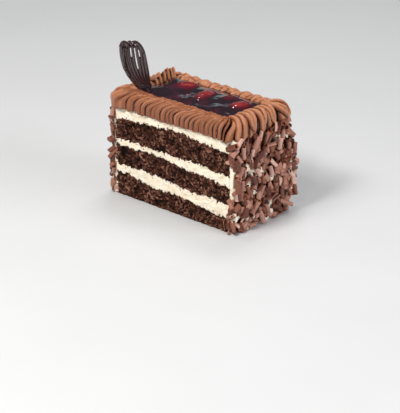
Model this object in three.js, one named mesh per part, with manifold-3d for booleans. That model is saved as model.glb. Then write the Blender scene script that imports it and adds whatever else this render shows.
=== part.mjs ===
// A rectangular slice of black forest cake, standing on its base.
// Units are millimetres. +Z is up, +X runs along the slice towards the end with the thicker
// chocolate shavings, and -Y is the cut face that shows the layers. The origin is the middle
// of the base, on the surface that the slice stands on.
//
// From the base up: dark sponge, cream, sponge, cream, sponge and cream, then a border of piped
// chocolate buttercream round a well of glazed cherries, with a fan of dark chocolate standing
// in it. Both short ends have a coat of cream covered in chocolate shavings.

import * as THREE from "three";
import { mergeVertices } from "three/addons/utils/BufferGeometryUtils.js";
import Module from "manifold-3d";

const wasm = await Module();
wasm.setup();

// ---- Driving dimensions ----

const spongeLeft = -53.5; // X of the sponge's two ends, under the cream coats
const spongeRight = 52.5;
const halfDepth = 27.5; // the cut faces are at Y = -halfDepth and +halfDepth
const gap = 0.3; // clearance between neighbouring solids
const creamTop = 67; // level of the top cream, under the border and the cherries
const coatThickness = 3.1; // cream on each short end
const coatBulge = 0.9; // how far the coat swells at mid height
const coatTop = 66.8;
const shavingsThickness = 3.5; // mean depth of the shavings on each end
const shavingsRelief = 0.8; // their outline goes this far in and out
const shavingsTop = { left: 66, right: 75.5 };
const shavingsWrap = { front: 1.3, back: 2, bulge: 3.4 }; // how far they reach round the corners
const borderCrest = 82; // height of the piped border's crest
const borderLip = 2.3; // how far the border hangs down over the cut faces
const pipingPitch = 5.2; // distance between neighbouring passes of the piping bag
const pipingGroove = 0.17; // depth of the grooves, as a share of the border's radius
const glazeTop = 77.6; // level of the cherry glaze along the border
const glazeDome = 1.8; // how far the glaze rises at its middle
const cherryRadius = 7.4;

// The top of each layer: height at mid length, fall towards +X, sag towards both ends, and a
// slow ripple that differs a little between the two cut faces.
const layers = [
  { name: "sponge_bottom", kind: "sponge", top: { mid: 13.8, fall: 3.2, sag: 0, ripple: 0.9, phase: 0.4 } },
  { name: "cream_lower", kind: "cream", top: { mid: 22.6, fall: 2.3, sag: 0.9, ripple: 0.9, phase: 3.3 } },
  { name: "sponge_middle", kind: "sponge", top: { mid: 37.7, fall: 3.0, sag: 2.0, ripple: 0.5, phase: 3.4 } },
  { name: "cream_middle", kind: "cream", top: { mid: 43.4, fall: 0.2, sag: 1.9, ripple: 0.5, phase: 5.2 } },
  { name: "sponge_top", kind: "sponge", top: { mid: 61.3, fall: -0.3, sag: 4.0, ripple: 0.5, phase: 1.1 } },
  { name: "cream_top", kind: "cream", top: { mid: creamTop, fall: 0, sag: 0, ripple: 0, phase: 0 } },
];
const rippleLength = 58; // wavelength of that ripple along X
const rippleTwist = 0.03; // radians of phase for each millimetre of depth

// Centreline and half width of the border along each side of the top.
const border = { left: -48.5, right: 49.5, front: -24.5, back: 24.5, corner: 6.5 };
const halfWidth = { left: 8.8, right: 7.2, front: 6.9, back: 6.9 };
const cornerReach = 0.42; // how much further out the border reaches at its corners

// Each cherry's middle and its radius as a share of cherryRadius.
const cherries = [
  { x: -31.8, y: 9.4, z: 76.2, size: 0.8 },
  { x: -17.2, y: 8.2, z: 76.2, size: 1.05 },
  { x: 4.6, y: 2.4, z: 76.2, size: 1.05 },
  { x: 21.4, y: 9.4, z: 75.8, size: 0.93 },
  { x: 34.8, y: 3, z: 75.6, size: 0.97 },
];
const cherryFlattening = 0.84; // height of a cherry as a share of its width

// The fan: ribs that spread from a narrow foot, joined by a thin web, with slots near the top.
const fan = {
  foot: { x: -40, y: -11, z: 71.5 },
  facing: 41, // the fan's broad side faces this azimuth, in degrees
  height: 42,
  leftEdge: { foot: -2.6, top: -16.8 }, // measured across the fan from its foot
  rightEdge: { foot: 3.4, top: -0.6 },
  ribs: 8,
  thickness: 2.6, // at the crest of a rib
  web: 1.3, // between the ribs
  curl: 5, // how far the left side curls forward
  slots: [3, 4, 6], // the webs, counted from the left, that are open near the top
};

const colours = {
  sponge: 0x3a2118,
  cream: 0xf4e6c6,
  buttercream: 0x9c6545,
  shavings: 0x7a5142,
  glaze: 0x3a1220,
  cherry: 0x9c1a22,
  fan: 0x2c1a1c,
};

// ---- Small tools ----

const bodyMiddle = (spongeLeft + spongeRight) / 2;
const halfLength = (spongeRight - spongeLeft) / 2;
const lerp = THREE.MathUtils.lerp;

// A repeatable number from 0 to 1 for a pair of grid indices.
function chance(i, j, seed) {
  const wave = Math.sin(i * 127.1 + j * 311.7 + seed * 74.7) * 43758.5453;
  return wave - Math.floor(wave);
}

// A closed solid between two grids of points, near(i, j) and far(i, j). Seen from the far
// side, i runs to the right and j runs up.
function solidBetween(columns, rows, near, far) {
  const positions = [];
  const index = [];
  const at = (side, i, j) => side * (columns + 1) * (rows + 1) + j * (columns + 1) + i;
  for (const side of [near, far]) {
    for (let j = 0; j <= rows; j++) {
      for (let i = 0; i <= columns; i++) positions.push(...side(i, j));
    }
  }
  const quad = (a, b, c, d) => index.push(a, b, c, a, c, d);
  for (let j = 0; j < rows; j++) {
    for (let i = 0; i < columns; i++) {
      quad(at(1, i, j), at(1, i + 1, j), at(1, i + 1, j + 1), at(1, i, j + 1));
      quad(at(0, i, j), at(0, i, j + 1), at(0, i + 1, j + 1), at(0, i + 1, j));
    }
  }
  for (let i = 0; i < columns; i++) {
    quad(at(0, i, 0), at(0, i + 1, 0), at(1, i + 1, 0), at(1, i, 0));
    quad(at(0, i + 1, rows), at(0, i, rows), at(1, i, rows), at(1, i + 1, rows));
  }
  for (let j = 0; j < rows; j++) {
    quad(at(0, 0, j + 1), at(0, 0, j), at(1, 0, j), at(1, 0, j + 1));
    quad(at(0, columns, j), at(0, columns, j + 1), at(1, columns, j + 1), at(1, columns, j));
  }
  const geometry = new THREE.BufferGeometry();
  geometry.setAttribute("position", new THREE.Float32BufferAttribute(positions, 3));
  geometry.setIndex(index);
  return geometry;
}

// A geometry as a manifold-3d solid, and back again.
function toSolid(geometry) {
  const bare = geometry.clone();
  for (const name of ["normal", "uv"]) bare.deleteAttribute(name);
  const merged = mergeVertices(bare, 1e-4);
  return new wasm.Manifold(
    new wasm.Mesh({
      numProp: 3,
      vertProperties: new Float32Array(merged.attributes.position.array),
      triVerts: new Uint32Array(merged.index.array),
    }),
  );
}

function toGeometry(solid) {
  const mesh = solid.getMesh();
  const geometry = new THREE.BufferGeometry();
  const positions = new Float32Array(mesh.numVert * 3);
  for (let i = 0; i < mesh.numVert; i++) {
    positions.set(mesh.vertProperties.subarray(i * mesh.numProp, i * mesh.numProp + 3), i * 3);
  }
  geometry.setAttribute("position", new THREE.BufferAttribute(positions, 3));
  geometry.setIndex(new THREE.BufferAttribute(new Uint32Array(mesh.triVerts), 1));
  return geometry;
}

// The largest body of a solid, without the slivers that a cut leaves beside it.
function mainBody(solid) {
  return solid.decompose().sort((a, b) => b.volume() - a.volume())[0];
}

// ---- Layers ----

function layerHeight(top, x, y) {
  const u = (x - bodyMiddle) / halfLength;
  const wave = (2 * Math.PI * x) / rippleLength + top.phase + rippleTwist * (y + halfDepth);
  return top.mid - top.fall * u - top.sag * u * u + top.ripple * Math.sin(wave);
}

// A slab from spongeLeft to spongeRight between two height functions of (x, y).
function slab(lower, upper) {
  const columns = 16;
  const rows = 2;
  const place = (height) => (i, j) => {
    const x = lerp(spongeLeft, spongeRight, i / columns);
    const y = lerp(-halfDepth, halfDepth, j / rows);
    return [x, y, height(x, y)];
  };
  return solidBetween(columns, rows, place(lower), place(upper));
}

function layerGeometry(number) {
  const below = layers[number - 1];
  const lower = below ? (x, y) => layerHeight(below.top, x, y) + gap : () => 0;
  return slab(lower, (x, y) => layerHeight(layers[number].top, x, y));
}

// ---- Ends: a cream coat, then the shavings ----

// Distance of the coat's outer face from the sponge, at a height.
function coatFace(z) {
  const rise = (2 * z) / coatTop - 1;
  return coatThickness + coatBulge * Math.max(0, 1 - rise * rise);
}

// A slab standing on one end, from inner(i, j, z) to outer(i, j, z) away from the sponge, with
// along(i, z) its Y at each column.
function endSlab(side, columns, rows, top, along, inner, outer) {
  const endX = side > 0 ? spongeRight : spongeLeft;
  const place = (distance) => (i, j) => {
    const z = lerp(0, top, j / rows);
    const column = side > 0 ? i : columns - i;
    return [endX + side * distance(column, j, z), along(column, z), z];
  };
  return solidBetween(columns, rows, place(inner), place(outer));
}

function coatGeometry(side) {
  const columns = 2;
  const along = (i) => lerp(-halfDepth, halfDepth, i / columns);
  return endSlab(side, columns, 6, coatTop, along, () => gap, (i, j, z) => coatFace(z));
}

// The shavings cover the coat and reach a little way round its two upright corners. Above the
// coat they lie against the border, whose outer side is at the distance called beside.
function shavingsGeometry(side, top, beside) {
  const columns = 11;
  const rows = 12;
  const last = columns - 1;
  const swell = (z) => shavingsWrap.bulge * Math.sin((Math.PI * z) / top);
  const along = (i, z) => {
    if (i === 0) return -halfDepth - shavingsWrap.front - 0.2 * swell(z);
    if (i === columns) return halfDepth + shavingsWrap.back + swell(z);
    return lerp(-halfDepth - gap, halfDepth + gap, (i - 1) / (last - 1));
  };
  const onCorner = (i) => i === 0 || i === columns;
  const inner = (i, j, z) => {
    const step = z > coatTop - 4 ? beside : 0;
    return Math.max(onCorner(i) ? 0.2 : coatFace(z), step) + gap;
  };
  const outer = (i, j, z) => {
    const relief = shavingsRelief * (2 * chance(i, j, side) - 1);
    if (onCorner(i)) return Math.max(coatThickness, inner(i, j, z) + 1.5) + relief;
    const towardsBack = 0.45 * swell(z) * (i / columns) ** 2;
    return inner(i, j, z) + shavingsThickness * (j > rows - 2 ? 0.75 : 1) + towardsBack + relief;
  };
  return endSlab(side, columns, rows, top, along, inner, outer);
}

// ---- Piped border ----

// Points round a closed rounded rectangle, with the half width of the border at each of them.
function borderPath(perPass) {
  const { left, right, front, back, corner } = border;
  const outline = new THREE.Shape();
  outline.moveTo(left + corner, front);
  outline.lineTo(right - corner, front);
  outline.absarc(right - corner, front + corner, corner, -Math.PI / 2, 0, false);
  outline.lineTo(right, back - corner);
  outline.absarc(right - corner, back - corner, corner, 0, Math.PI / 2, false);
  outline.lineTo(left + corner, back);
  outline.absarc(left + corner, back - corner, corner, Math.PI / 2, Math.PI, false);
  outline.lineTo(left, front + corner);
  outline.absarc(left + corner, front + corner, corner, Math.PI, 1.5 * Math.PI, false);
  const passes = Math.round(outline.getLength() / pipingPitch);
  const stations = passes * perPass;
  return outline.getSpacedPoints(stations).slice(0, stations).map((point, k) => {
    const from = (value, edge) => Math.exp(-Math.abs(value - edge) / border.corner);
    const near = {
      left: from(point.x, left),
      right: from(point.x, right),
      front: from(point.y, front),
      back: from(point.y, back),
    };
    const sides = Object.keys(near);
    const total = sides.reduce((sum, side) => sum + near[side] ** 4, 0);
    const radius = sides.reduce((sum, side) => sum + halfWidth[side] * near[side] ** 4, 0) / total;
    return { x: point.x, y: point.y, radius, turn: (k / perPass) % 1 };
  });
}

// How far the border reaches to each side of its path: further out at a corner, and less far in.
function reachAt(station, outward) {
  const corner = Math.abs(2 * outward.x * outward.y);
  const sideX = outward.x > 0 ? border.right + halfWidth.right : border.left - halfWidth.left;
  const sideY = outward.y > 0 ? border.back + halfWidth.back : border.front - halfWidth.front;
  const toSide = Math.min(
    Math.abs(sideX - station.x) / Math.max(Math.abs(outward.x), 0.01),
    Math.abs(sideY - station.y) / Math.max(Math.abs(outward.y), 0.01),
  );
  return {
    outer: Math.min(station.radius * (1 + cornerReach * corner), toSide),
    inner: lerp(station.radius, Math.min(station.radius, border.corner * 0.9), corner),
  };
}

// The direction that points away from the middle of the slice, square to the path.
function outwardAt(path, k) {
  const next = path[(k + 1) % path.length];
  const last = path[(k + path.length - 1) % path.length];
  return new THREE.Vector2(next.y - last.y, last.x - next.x).normalize();
}

// Sweeps an arched section round the path. Each pass of the bag is a rounded rib across it, and
// along the cut faces a lip hangs down in front of the top cream.
function borderGeometry() {
  const path = borderPath(3);
  const arch = 7;
  const base = creamTop + gap;
  const rise = borderCrest - base;
  const ribs = path.map(({ turn }) => 1 - pipingGroove * (1 - Math.abs(Math.sin(Math.PI * turn)) ** 0.6));
  const reaches = path.map((station, k) => reachAt(station, outwardAt(path, k)));
  const widths = reaches.map(({ outer }, k) => outer * ribs[k] * 0.93);
  const toCutFace = path.map(({ y }, k) => {
    return (halfDepth + gap - Math.abs(y)) / Math.max(Math.abs(outwardAt(path, k).y), 0.01);
  });
  const overhang = path.map((station, k) => Math.max(0, widths[k] - 0.5 - toCutFace[k]));
  const sections = path.map((station, k) => {
    const outward = outwardAt(path, k);
    const rib = ribs[k];
    const notch = Math.min(toCutFace[k], widths[k] - 0.5);
    const around = [k + path.length - 1, k, k + 1].map((n) => overhang[n % path.length]);
    const droop = 0.12 + borderLip * Math.min(1, ...around);
    const section = [[notch, 0], [notch, -droop], [widths[k], -droop]];
    for (let s = 0; s < arch; s++) {
      const angle = lerp(0.06, Math.PI, s / (arch - 1));
      const out = Math.cos(angle) * (angle < Math.PI / 2 ? reaches[k].outer : reaches[k].inner) * rib;
      section.push([out, s === arch - 1 ? 0 : Math.sin(angle) ** 0.7 * rise * rib]);
    }
    return section.map(([out, up]) => [station.x + outward.x * out, station.y + outward.y * out, base + up]);
  });
  return sweepGeometry(sections);
}

// A closed ring through sections that all have the same number of points.
function sweepGeometry(sections) {
  const size = sections[0].length;
  const index = [];
  const ring = (k, s) => (k % sections.length) * size + (s % size);
  for (let k = 0; k < sections.length; k++) {
    for (let s = 0; s < size; s++) {
      index.push(ring(k, s), ring(k + 1, s), ring(k + 1, s + 1));
      index.push(ring(k, s), ring(k + 1, s + 1), ring(k, s + 1));
    }
  }
  const geometry = new THREE.BufferGeometry();
  geometry.setAttribute("position", new THREE.Float32BufferAttribute(sections.flat(2), 3));
  geometry.setIndex(index);
  return geometry;
}

// ---- Cherries and glaze ----

function cherryGeometry(cherry, extra = 0) {
  const radius = cherryRadius * cherry.size + extra;
  const geometry = new THREE.SphereGeometry(radius, 12, 8);
  geometry.scale(1, 1, cherryFlattening);
  geometry.translate(cherry.x, cherry.y, cherry.z);
  return geometry;
}

// Height of the glaze, which swells round each cherry.
function glazeHeight(x, y) {
  const u = x / (border.right - halfWidth.right);
  const v = y / (border.back - halfWidth.back);
  const swell = cherries.reduce((most, cherry) => {
    const far = Math.hypot(x - cherry.x, y - cherry.y) / (cherryRadius * cherry.size * 1.35);
    return Math.max(most, 1 - far * far);
  }, 0);
  return glazeTop + glazeDome * (0.45 * Math.max(0, 1 - u * u) * Math.max(0, 1 - v * v) + 0.55 * swell);
}

// The well inside the border, filled from the top cream up, with its corners cut off a little.
function glazeGeometry(fanSocket) {
  const columns = 18;
  const rows = 8;
  const cornerCut = 1.5;
  const west = border.left + halfWidth.left + gap;
  const east = border.right - halfWidth.right - gap;
  const south = border.front + halfWidth.front + gap;
  const north = border.back - halfWidth.back - gap;
  const place = (height) => (i, j) => {
    const u = i / columns;
    const v = j / rows;
    const cut = u % 1 === 0 && v % 1 === 0 ? cornerCut : 0;
    const x = lerp(west + cut, east - cut, u);
    const y = lerp(south + cut, north - cut, v);
    return [x, y, height(x, y)];
  };
  const fill = solidBetween(columns, rows, place(() => creamTop + gap), place(glazeHeight));
  let cut = toSolid(fill).subtract(fanSocket);
  for (const cherry of cherries) cut = cut.subtract(toSolid(cherryGeometry(cherry, gap)));
  return toGeometry(mainBody(cut));
}

// ---- Chocolate fan ----

// A point of the fan's middle surface. u runs from its left edge to its right, v from its foot
// to its top. The left edge bends upwards, and the top falls away towards the right.
function fanPoint(u, v, extra) {
  const left = lerp(fan.leftEdge.foot, fan.leftEdge.top, 1 - (1 - v) ** 3) - extra;
  const right = lerp(fan.rightEdge.foot, fan.rightEdge.top, v ** 1.5) + extra;
  const scallop = 0.03 * Math.abs(Math.cos(Math.PI * fan.ribs * u));
  return {
    side: lerp(left, right, u),
    up: fan.height * v * (1 - 0.11 * u ** 4 - scallop) + extra * (2 * v - 1),
    forward: fan.curl * v * v * (1 - u) ** 2,
  };
}

// Moves a point from the fan's own directions to the slice's.
function fanPlace({ side, up, forward }) {
  const facing = THREE.MathUtils.degToRad(fan.facing);
  return [
    fan.foot.x + Math.cos(facing) * side + Math.sin(facing) * forward,
    fan.foot.y + Math.sin(facing) * side - Math.cos(facing) * forward,
    fan.foot.z + up,
  ];
}

// The ribbed sheet. For its socket, extra grows it on every side and the sheet is as thick
// between the ribs as at them.
function fanGeometry(extra = 0) {
  const perRib = 2;
  const columns = fan.ribs * perRib;
  const place = (sign) => (i, j) => {
    const point = fanPoint(i / columns, j / 9, extra);
    const rib = extra > 0 ? 1 : Math.abs(Math.sin((Math.PI * i) / perRib));
    point.forward += sign * (lerp(fan.web, fan.thickness, rib) / 2 + extra);
    return fanPlace(point);
  };
  return solidBetween(columns, 9, place(-1), place(1));
}

// A narrow slot between two ribs, open from front to back.
function slotGeometry(number) {
  const low = fanPoint(number / fan.ribs, 0.58, 0);
  const high = fanPoint(number / fan.ribs, 0.87, 0);
  const length = Math.hypot(high.side - low.side, high.up - low.up);
  const slot = new THREE.BoxGeometry(0.8, 14, length);
  slot.rotateY(Math.atan2(high.side - low.side, high.up - low.up));
  slot.rotateZ(THREE.MathUtils.degToRad(fan.facing));
  slot.translate(...fanPlace({ side: (low.side + high.side) / 2, up: (low.up + high.up) / 2, forward: 0 }));
  return slot;
}

// ---- Assembly ----

const finishes = {
  sponge: { color: colours.sponge, roughness: 0.95, metalness: 0 },
  cream: { color: colours.cream, roughness: 0.6, metalness: 0 },
  buttercream: { color: colours.buttercream, roughness: 0.5, metalness: 0 },
  shavings: { color: colours.shavings, roughness: 0.55, metalness: 0 },
  glaze: { color: colours.glaze, roughness: 0.08, metalness: 0 },
  cherry: { color: colours.cherry, roughness: 0.15, metalness: 0 },
  fan: { color: colours.fan, roughness: 0.25, metalness: 0 },
};

const slice = new THREE.Group();

function add(name, kind, geometry) {
  const mesh = new THREE.Mesh(geometry, new THREE.MeshStandardMaterial(finishes[kind]));
  mesh.name = name;
  slice.add(mesh);
}

layers.forEach((layer, number) => add(layer.name, layer.kind, layerGeometry(number)));
add("cream_end_left", "cream", coatGeometry(-1));
add("cream_end_right", "cream", coatGeometry(1));
const borderOuter = border.right + halfWidth.right - spongeRight;
add("shavings_left", "shavings", shavingsGeometry(-1, shavingsTop.left, 0));
add("shavings_right", "shavings", shavingsGeometry(1, shavingsTop.right, borderOuter));

const fanSolid = fan.slots.reduce(
  (solid, number) => solid.subtract(toSolid(slotGeometry(number))),
  toSolid(fanGeometry()),
);
const fanSocket = toSolid(fanGeometry(gap));
const borderSolid = toSolid(borderGeometry()).subtract(fanSocket);
add("piped_border", "buttercream", toGeometry(mainBody(borderSolid)));
add("cherry_glaze", "glaze", glazeGeometry(fanSocket));
cherries.forEach((cherry, k) => add("cherry_" + (k + 1), "cherry", cherryGeometry(cherry)));
add("chocolate_fan", "fan", toGeometry(fanSolid));

export default slice;
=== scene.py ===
import bpy
import bmesh
import math
import numpy as np
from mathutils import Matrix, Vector
from types import SimpleNamespace


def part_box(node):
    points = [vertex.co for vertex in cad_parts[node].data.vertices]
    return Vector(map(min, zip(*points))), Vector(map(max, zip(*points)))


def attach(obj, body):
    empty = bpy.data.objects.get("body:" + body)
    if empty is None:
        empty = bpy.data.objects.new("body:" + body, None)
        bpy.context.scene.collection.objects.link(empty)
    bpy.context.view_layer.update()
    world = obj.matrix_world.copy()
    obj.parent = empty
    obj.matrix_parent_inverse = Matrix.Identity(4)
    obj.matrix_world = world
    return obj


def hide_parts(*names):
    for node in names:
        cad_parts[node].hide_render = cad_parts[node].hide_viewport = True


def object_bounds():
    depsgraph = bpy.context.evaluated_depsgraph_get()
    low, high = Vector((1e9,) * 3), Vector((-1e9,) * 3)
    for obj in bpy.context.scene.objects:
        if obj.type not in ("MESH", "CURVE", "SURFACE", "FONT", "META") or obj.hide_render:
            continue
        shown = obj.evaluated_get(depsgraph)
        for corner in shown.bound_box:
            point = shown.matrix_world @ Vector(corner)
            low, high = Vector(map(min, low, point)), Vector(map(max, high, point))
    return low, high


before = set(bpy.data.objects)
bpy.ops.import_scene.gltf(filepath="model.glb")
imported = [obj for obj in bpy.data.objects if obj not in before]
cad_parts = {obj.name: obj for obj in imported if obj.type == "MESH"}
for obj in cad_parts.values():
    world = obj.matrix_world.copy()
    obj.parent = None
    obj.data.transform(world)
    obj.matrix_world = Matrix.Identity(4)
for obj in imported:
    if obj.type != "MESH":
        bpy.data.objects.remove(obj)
cadLow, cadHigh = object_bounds()
mm = 0.001
print("frame loaded")

slice_ = {  # measures that many pieces share, in millimetres
    "spongeLeft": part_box("sponge_bottom")[0].x / mm,  # the sponge's two ends
    "spongeRight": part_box("sponge_bottom")[1].x / mm,
    "halfDepth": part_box("sponge_bottom")[1].y / mm,  # the cut faces stand at plus and minus this
    "creamTop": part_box("cream_top")[1].z / mm,
    "tuck": 1.6,  # how far the cream reaches up under the border
}


def scatter(i, j, seed):  # a repeatable number from 0 to 1 for whole numbers i, j
    h = (np.asarray(i, np.int64) * 374761393 + np.asarray(j, np.int64) * 668265263 + seed * 362437) & 0xFFFFFFFF
    h = ((h ^ (h >> 13)) * 1274126177) & 0xFFFFFFFF
    h = h ^ (h >> 16)
    return (h & 0xFFFFFF) / 16777215.0


def softNoise(x, y, seed):  # smooth noise from -1 to 1, one bump per unit
    i, j = np.floor(x), np.floor(y)
    u, v = x - i, y - j
    u, v = u * u * u * (u * (u * 6 - 15) + 10), v * v * v * (v * (v * 6 - 15) + 10)
    a, b = scatter(i, j, seed), scatter(i + 1, j, seed)
    c, d = scatter(i, j + 1, seed), scatter(i + 1, j + 1, seed)
    return 2 * ((a * (1 - u) + b * u) * (1 - v) + (c * (1 - u) + d * u) * v) - 1


def roughNoise(x, y, seed, steps=3, keep=0.5):  # noise with finer and finer steps
    total, size, most = 0, 1.0, 0
    for k in range(steps):
        total = total + size * softNoise(x * 2 ** k, y * 2 ** k, seed + 17 * k)
        most += size
        size *= keep
    return total / most


def crumbNoise(x, y, seed):  # distance to the nearest crumb's middle, and that crumb's own number
    i, j = np.floor(x), np.floor(y)
    best = np.full(np.shape(x), 9.0)
    own = np.zeros(np.shape(x))
    for di in (-1, 0, 1):
        for dj in (-1, 0, 1):
            px = i + di + scatter(i + di, j + dj, seed)
            py = j + dj + scatter(i + di, j + dj, seed + 5)
            far = np.hypot(px - x, py - y)
            own = np.where(far < best, scatter(i + di, j + dj, seed + 9), own)
            best = np.minimum(best, far)
    return best, own


def blendStep(low, high, value):  # 0 below low, 1 above high, smooth between
    t = np.clip((value - low) / (high - low), 0, 1)
    return t * t * (3 - 2 * t)


def makePiece(name, points, faces, material, nodes, marks=None):  # points in millimetres
    mesh = bpy.data.meshes.new(name)
    mesh.from_pydata((np.asarray(points) * mm).tolist(), [], [tuple(f) for f in faces])
    mesh.validate()
    for markName, values in (marks or {}).items():
        mark = mesh.attributes.new(markName, "FLOAT", "POINT")
        mark.data.foreach_set("value", np.asarray(values, np.float32).ravel())
    mesh.materials.append(material)
    mesh.polygons.foreach_set("use_smooth", [True] * len(mesh.polygons))
    piece = bpy.data.objects.new(name, mesh)
    bpy.context.scene.collection.objects.link(piece)
    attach(piece, "root")
    if nodes:
        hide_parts(*nodes)
    return piece


def gridFaces(columns, rows, start=0, flip=False, loop=False):  # quads of a grid stored row by row
    i, j = np.meshgrid(np.arange(columns if loop else columns - 1), np.arange(rows - 1))
    a = start + j * columns + i
    b = start + j * columns + (i + 1) % columns
    c, d = b + columns, a + columns
    quads = np.stack([a, b, c, d], -1).reshape(-1, 4)
    return quads[:, ::-1] if flip else quads


def tubeFaces(around, n):  # n rings, closed by one more point at each end
    faces = [tuple(q) for q in gridFaces(around, n, 0, False, True)]
    for i in range(around):
        faces.append((n * around, (i + 1) % around, i))
        faces.append((n * around + 1, (n - 1) * around + i, (n - 1) * around + (i + 1) % around))
    return faces


def slabFaces(columns, rows, flip=False):  # a grid in front, the same grid behind, and the band round them
    front = gridFaces(columns, rows, 0, flip)
    back = gridFaces(columns, rows, columns * rows, not flip)
    edge = [j * columns for j in range(rows)] + [(rows - 1) * columns + i for i in range(1, columns)]
    edge += [j * columns + columns - 1 for j in range(rows - 2, -1, -1)] + list(range(columns - 2, 0, -1))
    edge = np.array(edge)
    after = np.roll(edge, -1)
    band = np.stack([edge, after, after + columns * rows, edge + columns * rows], -1)
    return np.concatenate([front, back, band[:, ::-1] if flip else band])


studio = {
    "cameraPlace": (0.7124, -0.8092, 0.4777),
    "lookAcross": 131.3,  # degrees, direction of view seen from above
    "lookDown": 24.11,  # degrees
    "lens": 143.8,
    "floorColour": (0.66, 0.67, 0.68),
    "floorSize": 6,  # metres from the middle to each edge
    # a pale wall below a dimmer ceiling: height and colour
    "wall": [(0.0, (0.62, 0.72, 0.75)), (0.22, (0.62, 0.80, 0.85)), (0.33, (0.13, 0.13, 0.14)),
             (1.0, (0.34, 0.33, 0.33))],
    "wallStrength": 0.5,
    # name, place (to the right, away from the camera, up), size, watts, colour, seen in glossy things or not
    "lights": [
        ("window", (-0.5, -0.6, 0.85), (0.22, 0.15), 3.6, (1, 0.975, 0.94), True),
        ("windowGlow", (-0.55, -0.5, 0.9), (0.5, 0.4), 8, (1, 0.975, 0.94), False),
        ("lamp", (-0.2, -0.9, 0.75), (0.06, 0.06), 1.2, (1, 0.98, 0.95), True),
        ("glint", (-0.16, 0.05, 1.2), (0.07, 0.05), 1.3, (1, 0.98, 0.95), True),
        ("fillCard", (0.9, -0.45, 0.4), (0.6, 0.5), 6, (0.97, 0.95, 1), False),
        ("topCard", (0.1, 0.5, 1.1), (0.5, 0.4), 4.5, (1, 0.99, 0.97), False),
    ],
    "lightAim": (0, 0, 0.045),
}


def softLight(name, place, size, watts, colour, mirrored):
    data = bpy.data.lights.new(name, "AREA")
    data.shape = "RECTANGLE"
    data.size, data.size_y = size
    data.energy = watts
    data.color = colour
    light = bpy.data.objects.new(name, data)
    light.visible_glossy = mirrored
    light.location = place
    light.rotation_euler = (Vector(studio["lightAim"]) - light.location).to_track_quat("-Z", "Y").to_euler()
    bpy.context.scene.collection.objects.link(light)


def makeStudio():
    cameraData = bpy.data.cameras.new("camera")
    cameraData.lens = studio["lens"]
    cameraData.sensor_width = 36
    cameraData.clip_start, cameraData.clip_end = 0.05, 20
    camera = bpy.data.objects.new("camera", cameraData)
    camera.location = studio["cameraPlace"]
    turn, down = math.radians(studio["lookAcross"]), math.radians(studio["lookDown"])
    ahead = Vector((math.cos(turn) * math.cos(down), math.sin(turn) * math.cos(down), -math.sin(down)))
    camera.rotation_euler = ahead.to_track_quat("-Z", "Y").to_euler()
    bpy.context.scene.collection.objects.link(camera)
    bpy.context.scene.camera = camera
    flat = Vector((ahead.x, ahead.y, 0)).normalized()
    right = Vector((flat.y, -flat.x, 0))
    for name, (across, away, up), size, watts, colour, mirrored in studio["lights"]:
        softLight(name, right * across + flat * away + Vector((0, 0, up)), size, watts, colour, mirrored)
    world = bpy.data.worlds.new("room")
    world.use_nodes = True
    tree = world.node_tree
    background = tree.nodes["Background"]
    background.inputs["Strength"].default_value = studio["wallStrength"]
    place = tree.nodes.new("ShaderNodeTexCoord").outputs["Generated"]
    parts = addNode(tree, "ShaderNodeSeparateXYZ", {"Vector": place})
    tree.links.new(ramp(tree, parts.outputs["Z"], studio["wall"]), background.inputs["Color"])
    bpy.context.scene.world = world
    bpy.context.scene.view_settings.view_transform = "Standard"


def nodesFor(name):
    material = bpy.data.materials.new(name)
    material.use_nodes = True
    tree = material.node_tree
    shader = tree.nodes["Principled BSDF"]
    return material, tree, shader


def addNode(tree, kind, inputs):
    node = tree.nodes.new(kind)
    for key, value in inputs.items():
        if isinstance(value, bpy.types.NodeSocket):
            tree.links.new(value, node.inputs[key])
        else:
            node.inputs[key].default_value = value
    return node


def setAll(shader, values):
    for name, value in values.items():
        shader.inputs[name].default_value = value


def ramp(tree, source, stops):
    node = tree.nodes.new("ShaderNodeValToRGB")
    while len(node.color_ramp.elements) < len(stops):
        node.color_ramp.elements.new(0.5)
    for element, (place, colour) in zip(node.color_ramp.elements, stops):
        element.position = place
        element.color = (*colour, 1)
    tree.links.new(source, node.inputs["Fac"])
    return node.outputs["Color"]


def noiseAt(tree, scale, detail=3.0, rough=0.55, stretch=None):
    place = tree.nodes.new("ShaderNodeTexCoord").outputs["Object"]
    if stretch:
        mapping = addNode(tree, "ShaderNodeMapping", {"Vector": place, "Scale": stretch})
        place = mapping.outputs["Vector"]
    return addNode(tree, "ShaderNodeTexNoise", {
        "Vector": place, "Scale": scale, "Detail": detail, "Roughness": rough}).outputs["Fac"]


def bumped(tree, shader, source, strength, depth):
    bump = addNode(tree, "ShaderNodeBump", {"Height": source, "Strength": strength, "Distance": depth})
    tree.links.new(bump.outputs["Normal"], shader.inputs["Normal"])


def mixed(tree, blend, factor, a, b):  # two colours blended
    node = tree.nodes.new("ShaderNodeMix")
    node.data_type = "RGBA"
    node.blend_type = blend
    for socket, value in ((node.inputs[0], factor), (node.inputs[6], a), (node.inputs[7], b)):
        if isinstance(value, bpy.types.NodeSocket):
            tree.links.new(value, socket)
        else:
            socket.default_value = value if isinstance(value, (int, float)) else (*value, 1)
    return node.outputs[2]


def mark(tree, name):  # a value that the mesh carries at each point
    node = tree.nodes.new("ShaderNodeAttribute")
    node.attribute_name = name
    return node.outputs["Fac"]


def roughened(tree, shader, source, stops):  # roughness that follows a noise
    tree.links.new(ramp(tree, source, [(place, (value,) * 3) for place, value in stops]), shader.inputs["Roughness"])


def tone(r, g, b):  # a colour given in everyday 0-255 steps, as the shader wants it
    return tuple(((c / 255 + 0.055) / 1.055) ** 2.4 if c > 10 else c / 255 / 12.92 for c in (r, g, b))


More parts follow.
